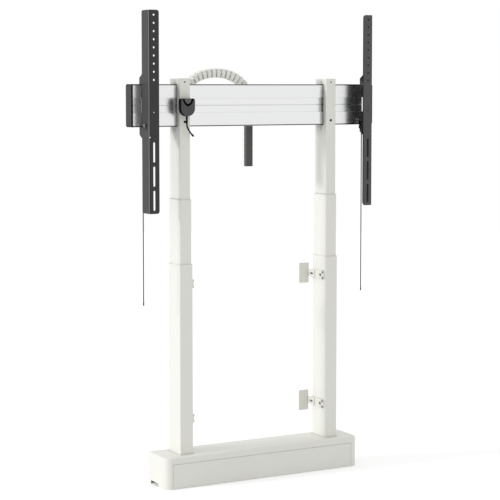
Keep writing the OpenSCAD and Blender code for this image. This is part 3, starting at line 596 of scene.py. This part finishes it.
@dataclass(frozen=True)
class Plated(Finish):
    """Plated or bare steel with a faint spangle.

    Fields:
        spangle: size of its cells in metres.
        fineness: frequency of the fine grain, per metre.
    """

    spread: Pair = (0.05, 0.08)
    faded: float = 0.86
    bump: float = 0.2
    depth: float = 0.00001
    edge: float = 0.0004
    spangle: float = 0.004
    fineness: float = 900.0

    def inputs(self, graph: Graph) -> dict[str, Any]:
        """Takes the tone from cells, and roughness and relief from fine noise.

        Args:
            graph: the tree to add to.

        Returns:
            The shader's inputs by name.
        """
        place = graph.object_place()
        cells = graph.add("TexVoronoi", Vector=place, Scale=1.0 / self.spangle).outputs["Color"]
        fine = graph.noise(place, self.fineness, detail=2.0)
        return {
            "Base_Color": self.worn(graph, graph.add("RGBToBW", Color=cells).outputs["Val"]),
            "Metallic": 1.0,
            "Roughness": self.rough(graph, fine),
            "Normal": self.relief(graph, fine),
        }


@dataclass(frozen=True)
class Braid(Finish):
    """Braided yarn on a round cord: two sets of bands that cross on its UV map.

    Fields:
        wave: how fast the bands follow each other, in radians per metre.
        unit_wave: radians per metre of the wave texture at scale 1.
        lean: how far the bands lean from square across the cord, in degrees.
        ragged: how far noise bends the bands.
    """

    faded: float = 0.6
    bump: float = 0.6
    depth: float = 0.0002
    wave: float = 260.0
    unit_wave: float = 20.0
    lean: float = 38.0
    ragged: float = 0.4

    def inputs(self, graph: Graph) -> dict[str, Any]:
        """Takes the larger of two slanted waves as the strand on top.

        Args:
            graph: the tree to add to.

        Returns:
            The shader's inputs by name.
        """
        place = graph.add("TexCoord").outputs["UV"]
        scale = self.wave / self.unit_wave
        strands = []
        for lean in (self.lean, -self.lean):
            slant = (0.0, 0.0, math.radians(lean))
            turned = graph.add("Mapping", Vector=place, Rotation=slant).outputs["Vector"]
            band = graph.add("TexWave", Vector=turned, Scale=scale, Distortion=self.ragged)
            strands.append(band.outputs["Fac"])
        weave = graph.sum("MAXIMUM", *strands)
        return {
            "Base_Color": self.worn(graph, weave),
            "Roughness": self.roughness,
            "Normal": self.relief(graph, weave),
        }


BLACK = (0.004, 0.004, 0.0042)
DARK_GREY = (0.095, 0.095, 0.098)
WARM_WHITE = (0.80, 0.797, 0.748)

WHITE_STEEL = PowderCoat("white_powder_coat", WARM_WHITE, 0.45)
# the inner tubes' coat has painted shade on their sides near neighbours such as the bar
HEAD_STEEL = PowderCoat("head_powder_coat", WARM_WHITE, 0.45, corner=0.05)
BLACK_STEEL = PowderCoat("black_powder_coat", (0.072, 0.072, 0.073), 0.48, faded=0.88, gloss=0.35)
# both strips have one coat: the left one's darker tone is painted shade, the right one's lighter tone
# painted light
STRIP_SHADED_AND_LIT_TONE = {Side.LEFT: (0.027, 0.027, 0.0275), Side.RIGHT: (0.076, 0.076, 0.0765)}
STRIP_STEEL = {
    side: FoldedCoat(f"{side.word}_strip_coat", tone, 0.48, faded=0.88, edge=0.002, gloss=0.35)
    for side, tone in STRIP_SHADED_AND_LIT_TONE.items()
}
WARM_STEEL = PowderCoat("warm_white_coat", (0.76, 0.75, 0.69), 0.5, faded=0.95)
BAR_ALLOY = Anodised("anodised_bar", (0.84, 0.843, 0.847), 0.24)
WHITE_PLASTIC = Moulded("white_plastic", WARM_WHITE, 0.5)
# the spine's links have painted shade in the gaps between them
SPINE_PLASTIC = Moulded("spine_plastic", (0.87, 0.865, 0.81), 0.5, crevice=0.009)
NYLON = Moulded("off_white_nylon", (0.74, 0.735, 0.695), 0.5)
DARK_PLASTIC = Moulded("dark_plastic", (0.05, 0.05, 0.052), 0.52, gloss=0.35)
CAP_PLASTIC = TwoTone("end_cap_plastic", BLACK, 0.5, gloss=0.1, face=(0.055, 0.055, 0.057), axis=AXIS_X,
                      limit=0.4455, both_ways=True)
# the case is black behind its grey front face; in the pocket round the rocker that black also serves as
# painted shade
CASE_PLASTIC = TwoTone("case_plastic", BLACK, 0.55, gloss=0.04, face=DARK_GREY, limit=-0.0577)
# the rocker's sides, down in the gap round it, are black as painted shade; its face is grey
ROCKER_PLASTIC = TwoTone("rocker_plastic", BLACK, 0.5, gloss=0.08, face=(0.13, 0.13, 0.133), limit=-0.0575)
LEAD_RUBBER = Moulded("black_lead", BLACK, 0.55, grain=0.0004, gloss=0.05)
SCREW_STEEL = Plated("zinc_screws", (0.42, 0.42, 0.43), 0.34)
DARK_SCREW = Plated("burnished_screws", (0.26, 0.26, 0.265), 0.42)
SPINDLE_STEEL = Plated("drive_steel", (0.5, 0.5, 0.52), 0.32)
CAST_ALLOY = Plated("cast_alloy", (0.6, 0.6, 0.6), 0.45, spangle=0.002)
MOTOR_BLACK = PowderCoat("motor_enamel", (0.03, 0.03, 0.032), 0.4)
SOCKET_BLACK = PowderCoat("black_screws", (0.003, 0.003, 0.0031), 0.5, gloss=0.08)
CORD_YARN = Braid("grey_cord", (0.06, 0.06, 0.063), 0.75)


class Paints:
    """Materials made so far, one for each finish."""

    def __init__(self) -> None:
        """Starts with none made."""
        self.made: dict[str, bpy.types.Material] = {}

    def of(self, finish: Finish) -> bpy.types.Material:
        """Finds a finish's material, building it on first use.

        Args:
            finish: the finish.

        Returns:
            Its material.
        """
        if finish.name not in self.made:
            self.made[finish.name] = finish.material()
        return self.made[finish.name]

    def coat(self, finish: Finish, *nodes: str) -> None:
        """Puts a finish on nodes of the frame.

        Args:
            finish: what they are coated with.
            nodes: node names.
        """
        material = self.of(finish)
        for name in nodes:
            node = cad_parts[name]
            if not node.material_slots:
                node.data.materials.append(material)
            for slot in node.material_slots:
                slot.material = material
            LOG.info("%s: %s", name, finish.name)


# Surfaces


@dataclass(frozen=True)
class Surface:
    """A grid of points with its faces, ready to become a mesh."""

    points: Array
    faces: NDArray[np.int64]
    caps: tuple[tuple[int, ...], ...] = ()
    uv: Array | None = None

    def piece(self, name: str, material: bpy.types.Material) -> bpy.types.Object:
        """Makes a smooth mesh object at the origin.

        Args:
            name: the object's name.
            material: its only material.

        Returns:
            The new object.
        """
        mesh = bpy.data.meshes.new(name)
        mesh.from_pydata(self.points, [], self.faces.tolist() + [list(cap) for cap in self.caps])
        mesh.materials.append(material)
        mesh.polygons.foreach_set("use_smooth", np.ones(len(mesh.polygons), dtype=bool))
        if self.uv is not None:
            layer = mesh.uv_layers.new(name="UVMap")
            corner = np.empty(len(mesh.loops), dtype=np.int32)
            mesh.loops.foreach_get("vertex_index", corner)
            layer.data.foreach_set("uv", self.uv[corner].ravel())
        mesh.update()
        obj = bpy.data.objects.new(name, mesh)
        bpy.context.scene.collection.objects.link(obj)
        return obj


def band_faces(rings: int, sides: int) -> NDArray[np.int64]:
    """Quads between neighbouring rings of a closed grid: point (i, k) has index i * sides + k.

    Args:
        rings: number of rings.
        sides: points in a ring.

    Returns:
        One row of four indices for each quad.
    """
    i, k = np.meshgrid(np.arange(rings - 1), np.arange(sides), indexing="ij")
    a = i * sides + k
    b = i * sides + (k + 1) % sides
    return np.stack([a, b, b + sides, a + sides], axis=-1).reshape(-1, 4)


def end_caps(rings: int, sides: int) -> tuple[tuple[int, ...], tuple[int, ...]]:
    """The faces that close a grid's first ring, turned round, and its last ring."""
    count = rings * sides
    return tuple(range(sides - 1, -1, -1)), tuple(range(count - sides, count))


def swept(path: Array, radii: Array, sides: int) -> Surface:
    """Carries a circle along a path.

    Each ring lies across the path's heading t: with s the unit of y cross t and u = t cross s, its points
    are path + radius * (cos a * s + sin a * u).

    Args:
        path: points in metres, one for each ring.
        radii: radius at each ring.
        sides: points in a ring.

    Returns:
        A closed tube whose UV is the length along it and the way round it, both in metres.
    """
    heading = np.gradient(path, axis=0)
    heading /= np.linalg.norm(heading, axis=1, keepdims=True)
    across = np.cross((0.0, 1.0, 0.0), heading)
    across /= np.linalg.norm(across, axis=1, keepdims=True)
    upward = np.cross(heading, across)
    angle = np.linspace(0.0, FULL_TURN, sides, endpoint=False)
    cosine, sine = np.cos(angle)[None, :, None], np.sin(angle)[None, :, None]
    ring = cosine * across[:, None, :] + sine * upward[:, None, :]
    points = path[:, None, :] + radii[:, None, None] * ring
    along = np.concatenate([[0.0], np.cumsum(np.linalg.norm(np.diff(path, axis=0), axis=1))])
    uv = np.stack(np.broadcast_arrays(along[:, None], angle[None, :] * float(radii.max())), axis=-1)
    grid = (len(path), sides)
    return Surface(points.reshape(-1, 3), band_faces(*grid), end_caps(*grid), uv.reshape(-1, 2))


def smooth_path(route: Array, steps: int) -> Array:
    """Rounds a route off with a Catmull-Rom curve that passes through every point.

    Args:
        route: points in metres.
        steps: new points for each stretch.

    Returns:
        The finer path, with the route's own ends.
    """
    ends = np.concatenate([[2 * route[0] - route[1]], route, [2 * route[-1] - route[-2]]])
    a, b, c, d = ends[:-3], ends[1:-2], ends[2:-1], ends[3:]
    t = np.linspace(0.0, 1.0, steps, endpoint=False)[None, :, None]
    a, b, c, d = (p[:, None, :] for p in (a, b, c, d))
    square = (2 * a - 5 * b + 4 * c - d) * t ** 2
    cube = (3 * b - a - 3 * c + d) * t ** 3
    curve = 0.5 * (2 * b + (c - a) * t + square + cube)
    return np.concatenate([curve.reshape(-1, 3), route[-1:]])


def path_length(path: Array) -> float:
    """Length of a path in metres."""
    return float(np.linalg.norm(np.diff(path, axis=0), axis=1).sum())


# Sub-assemblies


@dataclass
class Base:
    """Housing on the floor with the drive units inside it."""

    paints: Paints

    def dress(self) -> None:
        """Coats the housing and what it covers."""
        self.paints.coat(WHITE_STEEL, "base_cover", "front_panel")
        self.paints.coat(SPINDLE_STEEL, "base_plate")
        self.paints.coat(SCREW_STEEL, "base_screws")
        self.paints.coat(DARK_PLASTIC, "control_box")
        self.paints.coat(CAST_ALLOY, "left_gearbox", "right_gearbox")
        self.paints.coat(MOTOR_BLACK, "left_motor", "right_motor")


@dataclass
class Columns:
    """Two telescopic columns of three tubes each."""

    paints: Paints

    def dress(self) -> None:
        """Coats tubes, collars, caps, nuts and spindles on both sides."""
        for side in SIDES:
            self.paints.coat(WHITE_STEEL, f"{side.word}_outer_tube", f"{side.word}_mid_tube")
            self.paints.coat(HEAD_STEEL, f"{side.word}_inner_tube")
            self.paints.coat(NYLON, *(f"{side.word}_{name}" for name in
                                      ("outer_collar", "mid_collar", "mid_nut", "inner_nut")))
            self.paints.coat(WHITE_PLASTIC, f"{side.word}_head_cap")
            self.paints.coat(SPINDLE_STEEL, f"{side.word}_drive_spindle", f"{side.word}_hollow_spindle")


@dataclass
class Crossbar:
    """Extruded bar through both column heads, with its end caps and screws."""

    paints: Paints

    def dress(self) -> None:
        """Coats the bar, the caps and the clamp screws."""
        self.paints.coat(BAR_ALLOY, "crossbar")
        self.paints.coat(CAP_PLASTIC, "left_end_cap", "right_end_cap")
        self.paints.coat(SOCKET_BLACK, "bar_clamp_screws")


@dataclass
class DisplayStrip:
    """One hooked strip with its latch and pull cord.

    Fields:
        side: which half of the lift it is on.
        outer_face: distance from the middle to the strip's outer face, in metres.
        cord_in: distance from that face to the cord.
        cord_y: the cord's place in front of the column plane.
        cord_top: height of the cord's upper end.
        cord_foot: height of its lower end.
        cord_d: the cord's diameter.
        sleeve: length of the crimped sleeve on its lower end.
        knot: length of the knot at its upper end.
        bulge: how far the knot stands out from the cord.
        crimp: how far the sleeve stands out from the cord.
        pressed: depth of the grooves pressed into the sleeve.
        wraps, ripple: wraps of cord in the knot, and share of the bulge that waves with them.
        grooves, grooved: number of the sleeve's grooves, and share of its length that has them.
        foot_at, foot_len: where the sleeve's foot begins, and its length to a point, as shares of it.
        cord_rings, knot_rings, sleeve_rings: rings along each of the three.
        cord_sides, fitting_sides: points in a ring of the cord, and of knot and sleeve.
    """

    paints: Paints
    side: Side
    outer_face: float = 0.4098
    cord_in: float = 0.0045
    cord_y: float = -0.0117
    cord_top: float = 1.1307
    cord_foot: float = 0.584
    cord_d: float = 0.0034
    sleeve: float = 0.011
    knot: float = 0.007
    bulge: float = 0.0011
    crimp: float = 0.00035
    pressed: float = 0.00018
    wraps: int = 2
    ripple: float = 0.2
    grooves: int = 3
    grooved: float = 0.75
    foot_at: float = 0.85
    foot_len: float = 0.155
    cord_rings: int = 33
    knot_rings: int = 15
    sleeve_rings: int = 24
    cord_sides: int = 16
    fitting_sides: int = 20

    def dress(self) -> None:
        """Coats the strip and its latch, then hangs the cord."""
        word = self.side.word
        self.paints.coat(STRIP_STEEL[self.side], f"{word}_strip")
        self.paints.coat(SOCKET_BLACK, f"{word}_latch")
        self.paints.coat(SCREW_STEEL, f"{word}_latch_bolt")
        self.hang_cord()

    def cord_route(self) -> Array:
        """Lays the cord straight down in even steps.

        Returns:
            Its points in metres, from the top.
        """
        z = np.linspace(self.cord_top, self.cord_foot, self.cord_rings)
        x = self.side.value * (self.outer_face - self.cord_in)
        return np.stack([np.full_like(z, x), np.full_like(z, self.cord_y), z], axis=1)

    def hang_cord(self) -> None:
        """Makes the braided cord, its knot under the latch and its crimped lower end."""
        word = self.side.word
        route = self.cord_route()
        r = self.cord_d / 2
        yarn, rubber = self.paints.of(CORD_YARN), self.paints.of(LEAD_RUBBER)
        cord = swept(route, np.full(len(route), r), self.cord_sides).piece(f"{word}_cord_braid", yarn)
        wraps = np.linspace(0.0, -self.knot, self.knot_rings)
        knot = self.turned(route[0], wraps, self.knot_radius(r)).piece(f"{word}_cord_knot", yarn)
        drop = np.linspace(self.sleeve, 0.0, self.sleeve_rings)
        foot = self.turned(route[-1], drop, self.sleeve_radius(r)).piece(f"{word}_cord_sleeve", rubber)
        for piece, slot in ((cord, "pull_cord"), (knot, "pull_cord"), (foot, "black_rubber")):
            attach(piece, f"{word}_pull_cord")
            LOG.info("%s made", piece.name)
        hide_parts(f"{word}_pull_cord")
        path_length(route)

    def knot_radius(self, r: float) -> Array:
        """Works out the knot: wraps of cord, as a cosine wave on the bulge of half a sine.

        Args:
            r: the cord's radius.

        Returns:
            The radius at each ring.
        """
        t = np.linspace(0.0, 1.0, self.knot_rings)
        wave = 1.0 - self.ripple + self.ripple * np.cos(self.wraps * FULL_TURN * t)
        return r + self.bulge * np.sin(math.pi * t) * wave

    def sleeve_radius(self, r: float) -> Array:
        """Works out the sleeve: grooves as a cosine wave, then a foot that closes as an ellipse.

        Args:
            r: the cord's radius.

        Returns:
            The radius at each ring.
        """
        t = np.linspace(0.0, 1.0, self.sleeve_rings)
        wave = np.cos(self.grooves * FULL_TURN * np.clip(t / self.grooved, 0.0, 1.0))
        groove = self.pressed * (0.5 - 0.5 * wave)
        foot = np.sqrt(1.0 - (np.maximum(t - self.foot_at, 0.0) / self.foot_len) ** 2)
        return (r + self.crimp - groove) * foot

    def turned(self, at: Array, heights: Array, radii: Array) -> Surface:
        """Turns a profile about the upright line through a point.

        Args:
            at: the point in metres.
            heights: distance above the point at each ring.
            radii: radius at each ring.

        Returns:
            The turned surface.
        """
        path = at[None, :] + heights[:, None] * np.array([[0.0, 0.0, 1.0]])
        return swept(path, radii, self.fitting_sides)


@dataclass
class Handset:
    """Wired handset on the left column head, with its rocker and lead.

    Fields:
        x, front, top: its middle, front face and top edge in metres.
        rocker_w, rocker_h, rocker_t: size of the rocker.
        rocker_proud: how far the rocker stands out of the case.
        top_gap: gap between the rocker and the case's top edge.
        rocker_dish, rocker_round: depth of the dish in its face, and radius round that face.
        rocker_mid: place of its middle below the top edge, as a share of its height.
        rocker_scales: scale of its innermost ring, of the face's rim and of the back.
        rocker_bevel: depth of the bevel round its back.
        arc_points: points on each arc of its outline, and on the top edge.
        face_rings, round_rings: rings on its face, and on the round of its edge.
        lead_d: diameter of the lead.
        lead_mm: the lead's route in millimetres.
        lead_steps: new points for each stretch of the route.
        sleeve_len: length of the sleeve where the lead leaves the case.
        sleeve_wall, sleeve_taper: the sleeve's wall at the case, and how much thinner it ends.
        ribs, rib_h: number of the sleeve's ribs, and how far they rise and fall.
        plug_len, plug_d, tip_r: size of the plug on the lead, and radius of its tip.
        grip: share of the plug's length that is grip.
        notch: depth of the notches in the grip, as a share of its radius.
        notch_waves, notch_level: half waves of the sine that sets the notches, and where it does.
        lead_sides: points in a ring of the lead.
        sleeve_sides, sleeve_rings: points in a ring of sleeve and plug, and rings along each.
    """

    paints: Paints
    x: float = -0.270
    front: float = -0.0585
    top: float = 1.234
    rocker_w: float = 0.024
    rocker_h: float = 0.0165
    rocker_t: float = 0.0038
    rocker_proud: float = 0.0005
    top_gap: float = 0.0006
    rocker_dish: float = 0.0009
    rocker_round: float = 0.0012
    rocker_mid: float = 0.42
    rocker_scales: Triple = (0.03, 0.9, 0.985)
    rocker_bevel: float = 0.0004
    arc_points: int = 28
    face_rings: int = 14
    round_rings: int = 7
    lead_d: float = 0.005
    lead_mm: tuple[Triple, ...] = (
        (-271.8, -52.0, 1179.0), (-271.9, -52.0, 1172.0), (-272.0, -52.0, 1165.0), (-271.9, -52.0, 1158.0),
        (-271.4, -52.0, 1151.0), (-269.7, -52.0, 1144.0), (-266.1, -51.5, 1137.5), (-261.9, -51.0, 1131.5),
        (-258.1, -50.5, 1126.0), (-253.0, -50.0, 1121.0))
    lead_steps: int = 5
    sleeve_len: float = 0.022
    sleeve_wall: float = 0.0008
    sleeve_taper: float = 0.0004
    ribs: int = 8
    rib_h: float = 0.00012
    plug_len: float = 0.009
    plug_d: float = 0.0064
    tip_r: float = 0.0019
    grip: float = 0.72
    notch: float = 0.06
    notch_waves: int = 9
    notch_level: float = 0.2
    lead_sides: int = 16
    sleeve_sides: int = 20
    sleeve_rings: int = 36

    def dress(self) -> None:
        """Coats the case and makes the rocker and the lead."""
        self.paints.coat(CASE_PLASTIC, "handset_body", "handset_clip")
        self.press_rocker()
        self.run_lead()

    def shield(self, count: int) -> Array:
        """Outline of the rocker: two equal arcs that meet in a point below a straight top edge.

        Args:
            count: points on each of the two arcs and on the top edge.

        Returns:
            Rows of x and z, the origin in the middle of the top edge.
        """
        w, h = self.rocker_w, self.rocker_h
        shift = (h * h - w * w / 4) / w
        r = w / 2 + shift
        foot = -math.atan2(h, shift)
        angle = np.linspace(0.0, foot, count, endpoint=False)
        right = np.stack([r * np.cos(angle) - shift, r * np.sin(angle)], axis=1)
        turn = np.linspace(foot, 0.0, count, endpoint=False)
        left = np.stack([shift - r * np.cos(turn), r * np.sin(turn)], axis=1)
        edge = np.stack([np.linspace(-w / 2, w / 2, count, endpoint=False), np.zeros(count)], axis=1)
        return np.concatenate([right, left, edge])

    def press_rocker(self) -> None:
        """Makes the rocker: its outline shrinks to a middle point as it goes over a dished face.

        Up to the rim, a ring of scale s lies at depth dish * (1 - (s / rim)^2). The next ones follow a
        quarter round of the edge and a straight side to the back.
        """
        outline = self.shield(self.arc_points)
        middle = np.array([0.0, -self.rocker_mid * self.rocker_h])
        least, rim, rear = self.rocker_scales
        face = np.linspace(least, rim, self.face_rings)
        turn = np.linspace(0.0, math.pi / 2, self.round_rings)[1:]
        scale = np.concatenate([face, rim + (1.0 - rim) * np.sin(turn), [1.0, rear, least]])
        dish = self.rocker_dish * (1.0 - (face / rim) ** 2)
        back = [self.rocker_t - self.rocker_bevel, self.rocker_t, self.rocker_t]
        depth = np.concatenate([dish, self.rocker_round * (1.0 - np.cos(turn)), back])
        flat = middle + scale[:, None, None] * (outline - middle)
        points = np.stack([
            self.x + flat[..., 0],
            np.broadcast_to(self.front - self.rocker_proud + depth[:, None], flat.shape[:2]),
            self.top - self.top_gap + flat[..., 1]], axis=-1)
        grid = (len(scale), len(outline))
        surface = Surface(points.reshape(-1, 3), band_faces(*grid), end_caps(*grid))
        piece = surface.piece("rocker_face", self.paints.of(ROCKER_PLASTIC))
        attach(piece, "handset_rocker")
        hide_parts("handset_rocker")
        LOG.info("%s made", piece.name)

    def run_lead(self) -> None:
        """Makes the lead, the ribbed sleeve where it leaves the case, and the plug on its end.

        The sleeve's radius is a straight taper with a cosine of ribs on it. The plug's grip is notched
        where a sine along it is above a level.
        """
        rubber = self.paints.of(LEAD_RUBBER)
        route = np.array(self.lead_mm) / MM_PER_M
        path = smooth_path(route, self.lead_steps)
        lead = swept(path, np.full(len(path), self.lead_d / 2), self.lead_sides).piece("lead_cable", rubber)
        t = np.linspace(0.0, 1.0, self.sleeve_rings)
        ribs = self.rib_h * np.cos(self.ribs * FULL_TURN * t)
        taper = self.lead_d / 2 + self.sleeve_wall - self.sleeve_taper * t + ribs
        down = route[0][None, :] + t[:, None] * np.array([[0.0, 0.0, -self.sleeve_len]])
        sleeve = swept(down, taper, self.sleeve_sides).piece("lead_sleeve", rubber)
        heading = route[-1] - route[-2]
        heading /= np.linalg.norm(heading)
        out = route[-1][None, :] + t[:, None] * self.plug_len * heading[None, :]
        notches = self.notch * (np.sin(self.notch_waves * math.pi * t) > self.notch_level)
        stepped = np.where(t < self.grip, self.plug_d / 2 * (1.0 - notches), self.tip_r)
        plug = swept(out, stepped, self.sleeve_sides).piece("lead_plug_grip", rubber)
        for piece in (lead, sleeve, plug):
            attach(piece, "carriage")
            LOG.info("%s made", piece.name)
        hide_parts("handset_lead")
        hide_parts("lead_plug")
        path_length(path)


@dataclass
class CableSpine:
    """Chain of cable links over the bar, with its clip and holder."""

    paints: Paints

    def dress(self) -> None:
        """Coats the links, the clip and the holder."""
        self.paints.coat(SPINE_PLASTIC, "cable_spine")
        self.paints.coat(DARK_PLASTIC, "spine_clip")
        self.paints.coat(BLACK_STEEL, "cable_holder")


@dataclass
class WallBrackets:
    """Four adjustable brackets between the columns and the wall."""

    paints: Paints

    def dress(self) -> None:
        """Coats arms, plates and screws."""
        for level in Level:
            for side in SIDES:
                stem = f"{level.value}_{side.word}_wall"
                self.paints.coat(WARM_STEEL, f"{stem}_arm", f"{stem}_plate")
        self.paints.coat(DARK_SCREW, "wall_arm_screws")


@dataclass
class Studio:
    """Floor, light and camera.

    Fields:
        ambient: even light from all round.
        key: strength of the lamp on the left, as a share of what lights white fully.
        key_from: where that lamp stands, as a direction.
        eye: the camera's place in metres.
        turn, dip: the camera's heading to the right of +Y and below the horizon, in degrees.
        lens, film: focal length and width of the camera's picture, in millimetres.
        sight: how far the camera sees, in metres.
        shift: the picture's shift across and up, as a share of its width.
        floor_radii: radii of the floor's rings in metres.
        floor_glow: light that the floor adds where it is seen.
        floor_tone: the floor's linear grey.
        floor_sides: points round the floor.
        floor_drop: how far the floor lies below the lift's foot, in metres.
        lamp_width: the lamp's angle across, in degrees.
    """

    ambient: float = 0.825
    key: float = 0.42
    key_from: Triple = (-0.93, 0.155, 0.28)
    eye: Triple = (-2.5937, -4.6352, 1.2707)
    turn: float = 29.094
    dip: float = 4.501
    lens: float = 117.749
    film: float = 36.0
    sight: float = 100.0
    shift: Pair = (-0.001, -0.069)
    floor_radii: tuple[float, ...] = (0.02, 0.5, 2.0, 9.0)
    floor_glow: float = 0.28
    floor_tone: float = 0.86
    floor_sides: int = 96
    floor_drop: float = 0.0002
    lamp_width: float = 10.0

    def build(self) -> None:
        """Makes the whole studio."""
        bpy.context.scene.view_settings.view_transform = "Standard"
        self.lay_floor()
        self.hang_lights()
        self.set_camera()

    def seen(self, graph: Graph) -> Socket:
        """One for rays that see or mirror the backdrop, nought for rays that light things.

        Args:
            graph: the tree to add to.

        Returns:
            The socket.
        """
        rays = graph.add("LightPath").outputs
        mirrored = graph.sum("MAXIMUM", rays["Is Camera Ray"], rays["Is Glossy Ray"])
        return graph.sum("MAXIMUM", mirrored, rays["Is Transmission Ray"])

    def lay_floor(self) -> None:
        """Makes a round pale floor that keeps the lift's shadow."""
        graph = Graph.named("pale_floor")
        diffuse = graph.add("BsdfDiffuse", Color=(self.floor_tone, self.floor_tone, self.floor_tone, 1.0))
        glow = graph.add("Emission", Strength=graph.sum("MULTIPLY", self.seen(graph), self.floor_glow))
        both = graph.add("AddShader")
        graph.plug(both.inputs[0], diffuse.outputs["BSDF"])
        graph.plug(both.inputs[1], glow.outputs["Emission"])
        material = graph.close(both.outputs["Shader"])
        angle = np.linspace(0.0, FULL_TURN, self.floor_sides, endpoint=False)
        radius = np.array(self.floor_radii)[:, None]
        grid = (len(radius), self.floor_sides)
        level = np.full(grid, -self.floor_drop)
        points = np.stack([radius * np.cos(angle), radius * np.sin(angle), level], axis=-1)
        middle = tuple(range(self.floor_sides))
        surface = Surface(points.reshape(-1, 3), band_faces(*grid)[:, ::-1], (middle,))
        floor = surface.piece("floor", material)

    def hang_lights(self) -> None:
        """Makes an even sky, white where it is seen, and one broad lamp on the left."""
        world = bpy.data.worlds.new("studio")
        bpy.context.scene.world = world
        graph = Graph(world, "OutputWorld")
        level = graph.add("MapRange", Value=self.seen(graph), To_Min=self.ambient, To_Max=1.0)
        sky = graph.add("Background", Color=(1.0, 1.0, 1.0, 1.0), Strength=level.outputs["Result"])
        graph.close(sky.outputs["Background"])
        lamp = bpy.data.lights.new("left_lamp", "SUN")
        lamp.energy = self.key * math.pi
        lamp.angle = math.radians(self.lamp_width)
        obj = bpy.data.objects.new("left_lamp", lamp)
        away = np.array(self.key_from) / np.linalg.norm(self.key_from)
        obj.rotation_euler = (math.acos(away[2]), 0.0, math.atan2(away[1], away[0]) + math.pi / 2)
        bpy.context.scene.collection.objects.link(obj)

    def set_camera(self) -> None:
        """Puts the camera at the photograph's viewing angle."""
        data = bpy.data.cameras.new("camera")
        data.lens = self.lens
        data.sensor_width = self.film
        data.shift_x, data.shift_y = self.shift
        data.clip_end = self.sight
        camera = bpy.data.objects.new("camera", data)
        camera.location = self.eye
        camera.rotation_euler = (math.radians(90.0 - self.dip), 0.0, math.radians(-self.turn))
        bpy.context.scene.collection.objects.link(camera)
        bpy.context.scene.camera = camera


def main() -> None:
    """Builds the studio and dresses every sub-assembly."""
    logging.basicConfig(level=logging.INFO, format="%(name)s: %(message)s")
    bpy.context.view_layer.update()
    paints = Paints()
    Studio().build()
    for side in SIDES:
        DisplayStrip(paints, side).dress()
    Handset(paints).dress()
    for part in (Base(paints), Columns(paints), Crossbar(paints), CableSpine(paints), WallBrackets(paints)):
        part.dress()


if __name__ == "__main__":
    main()
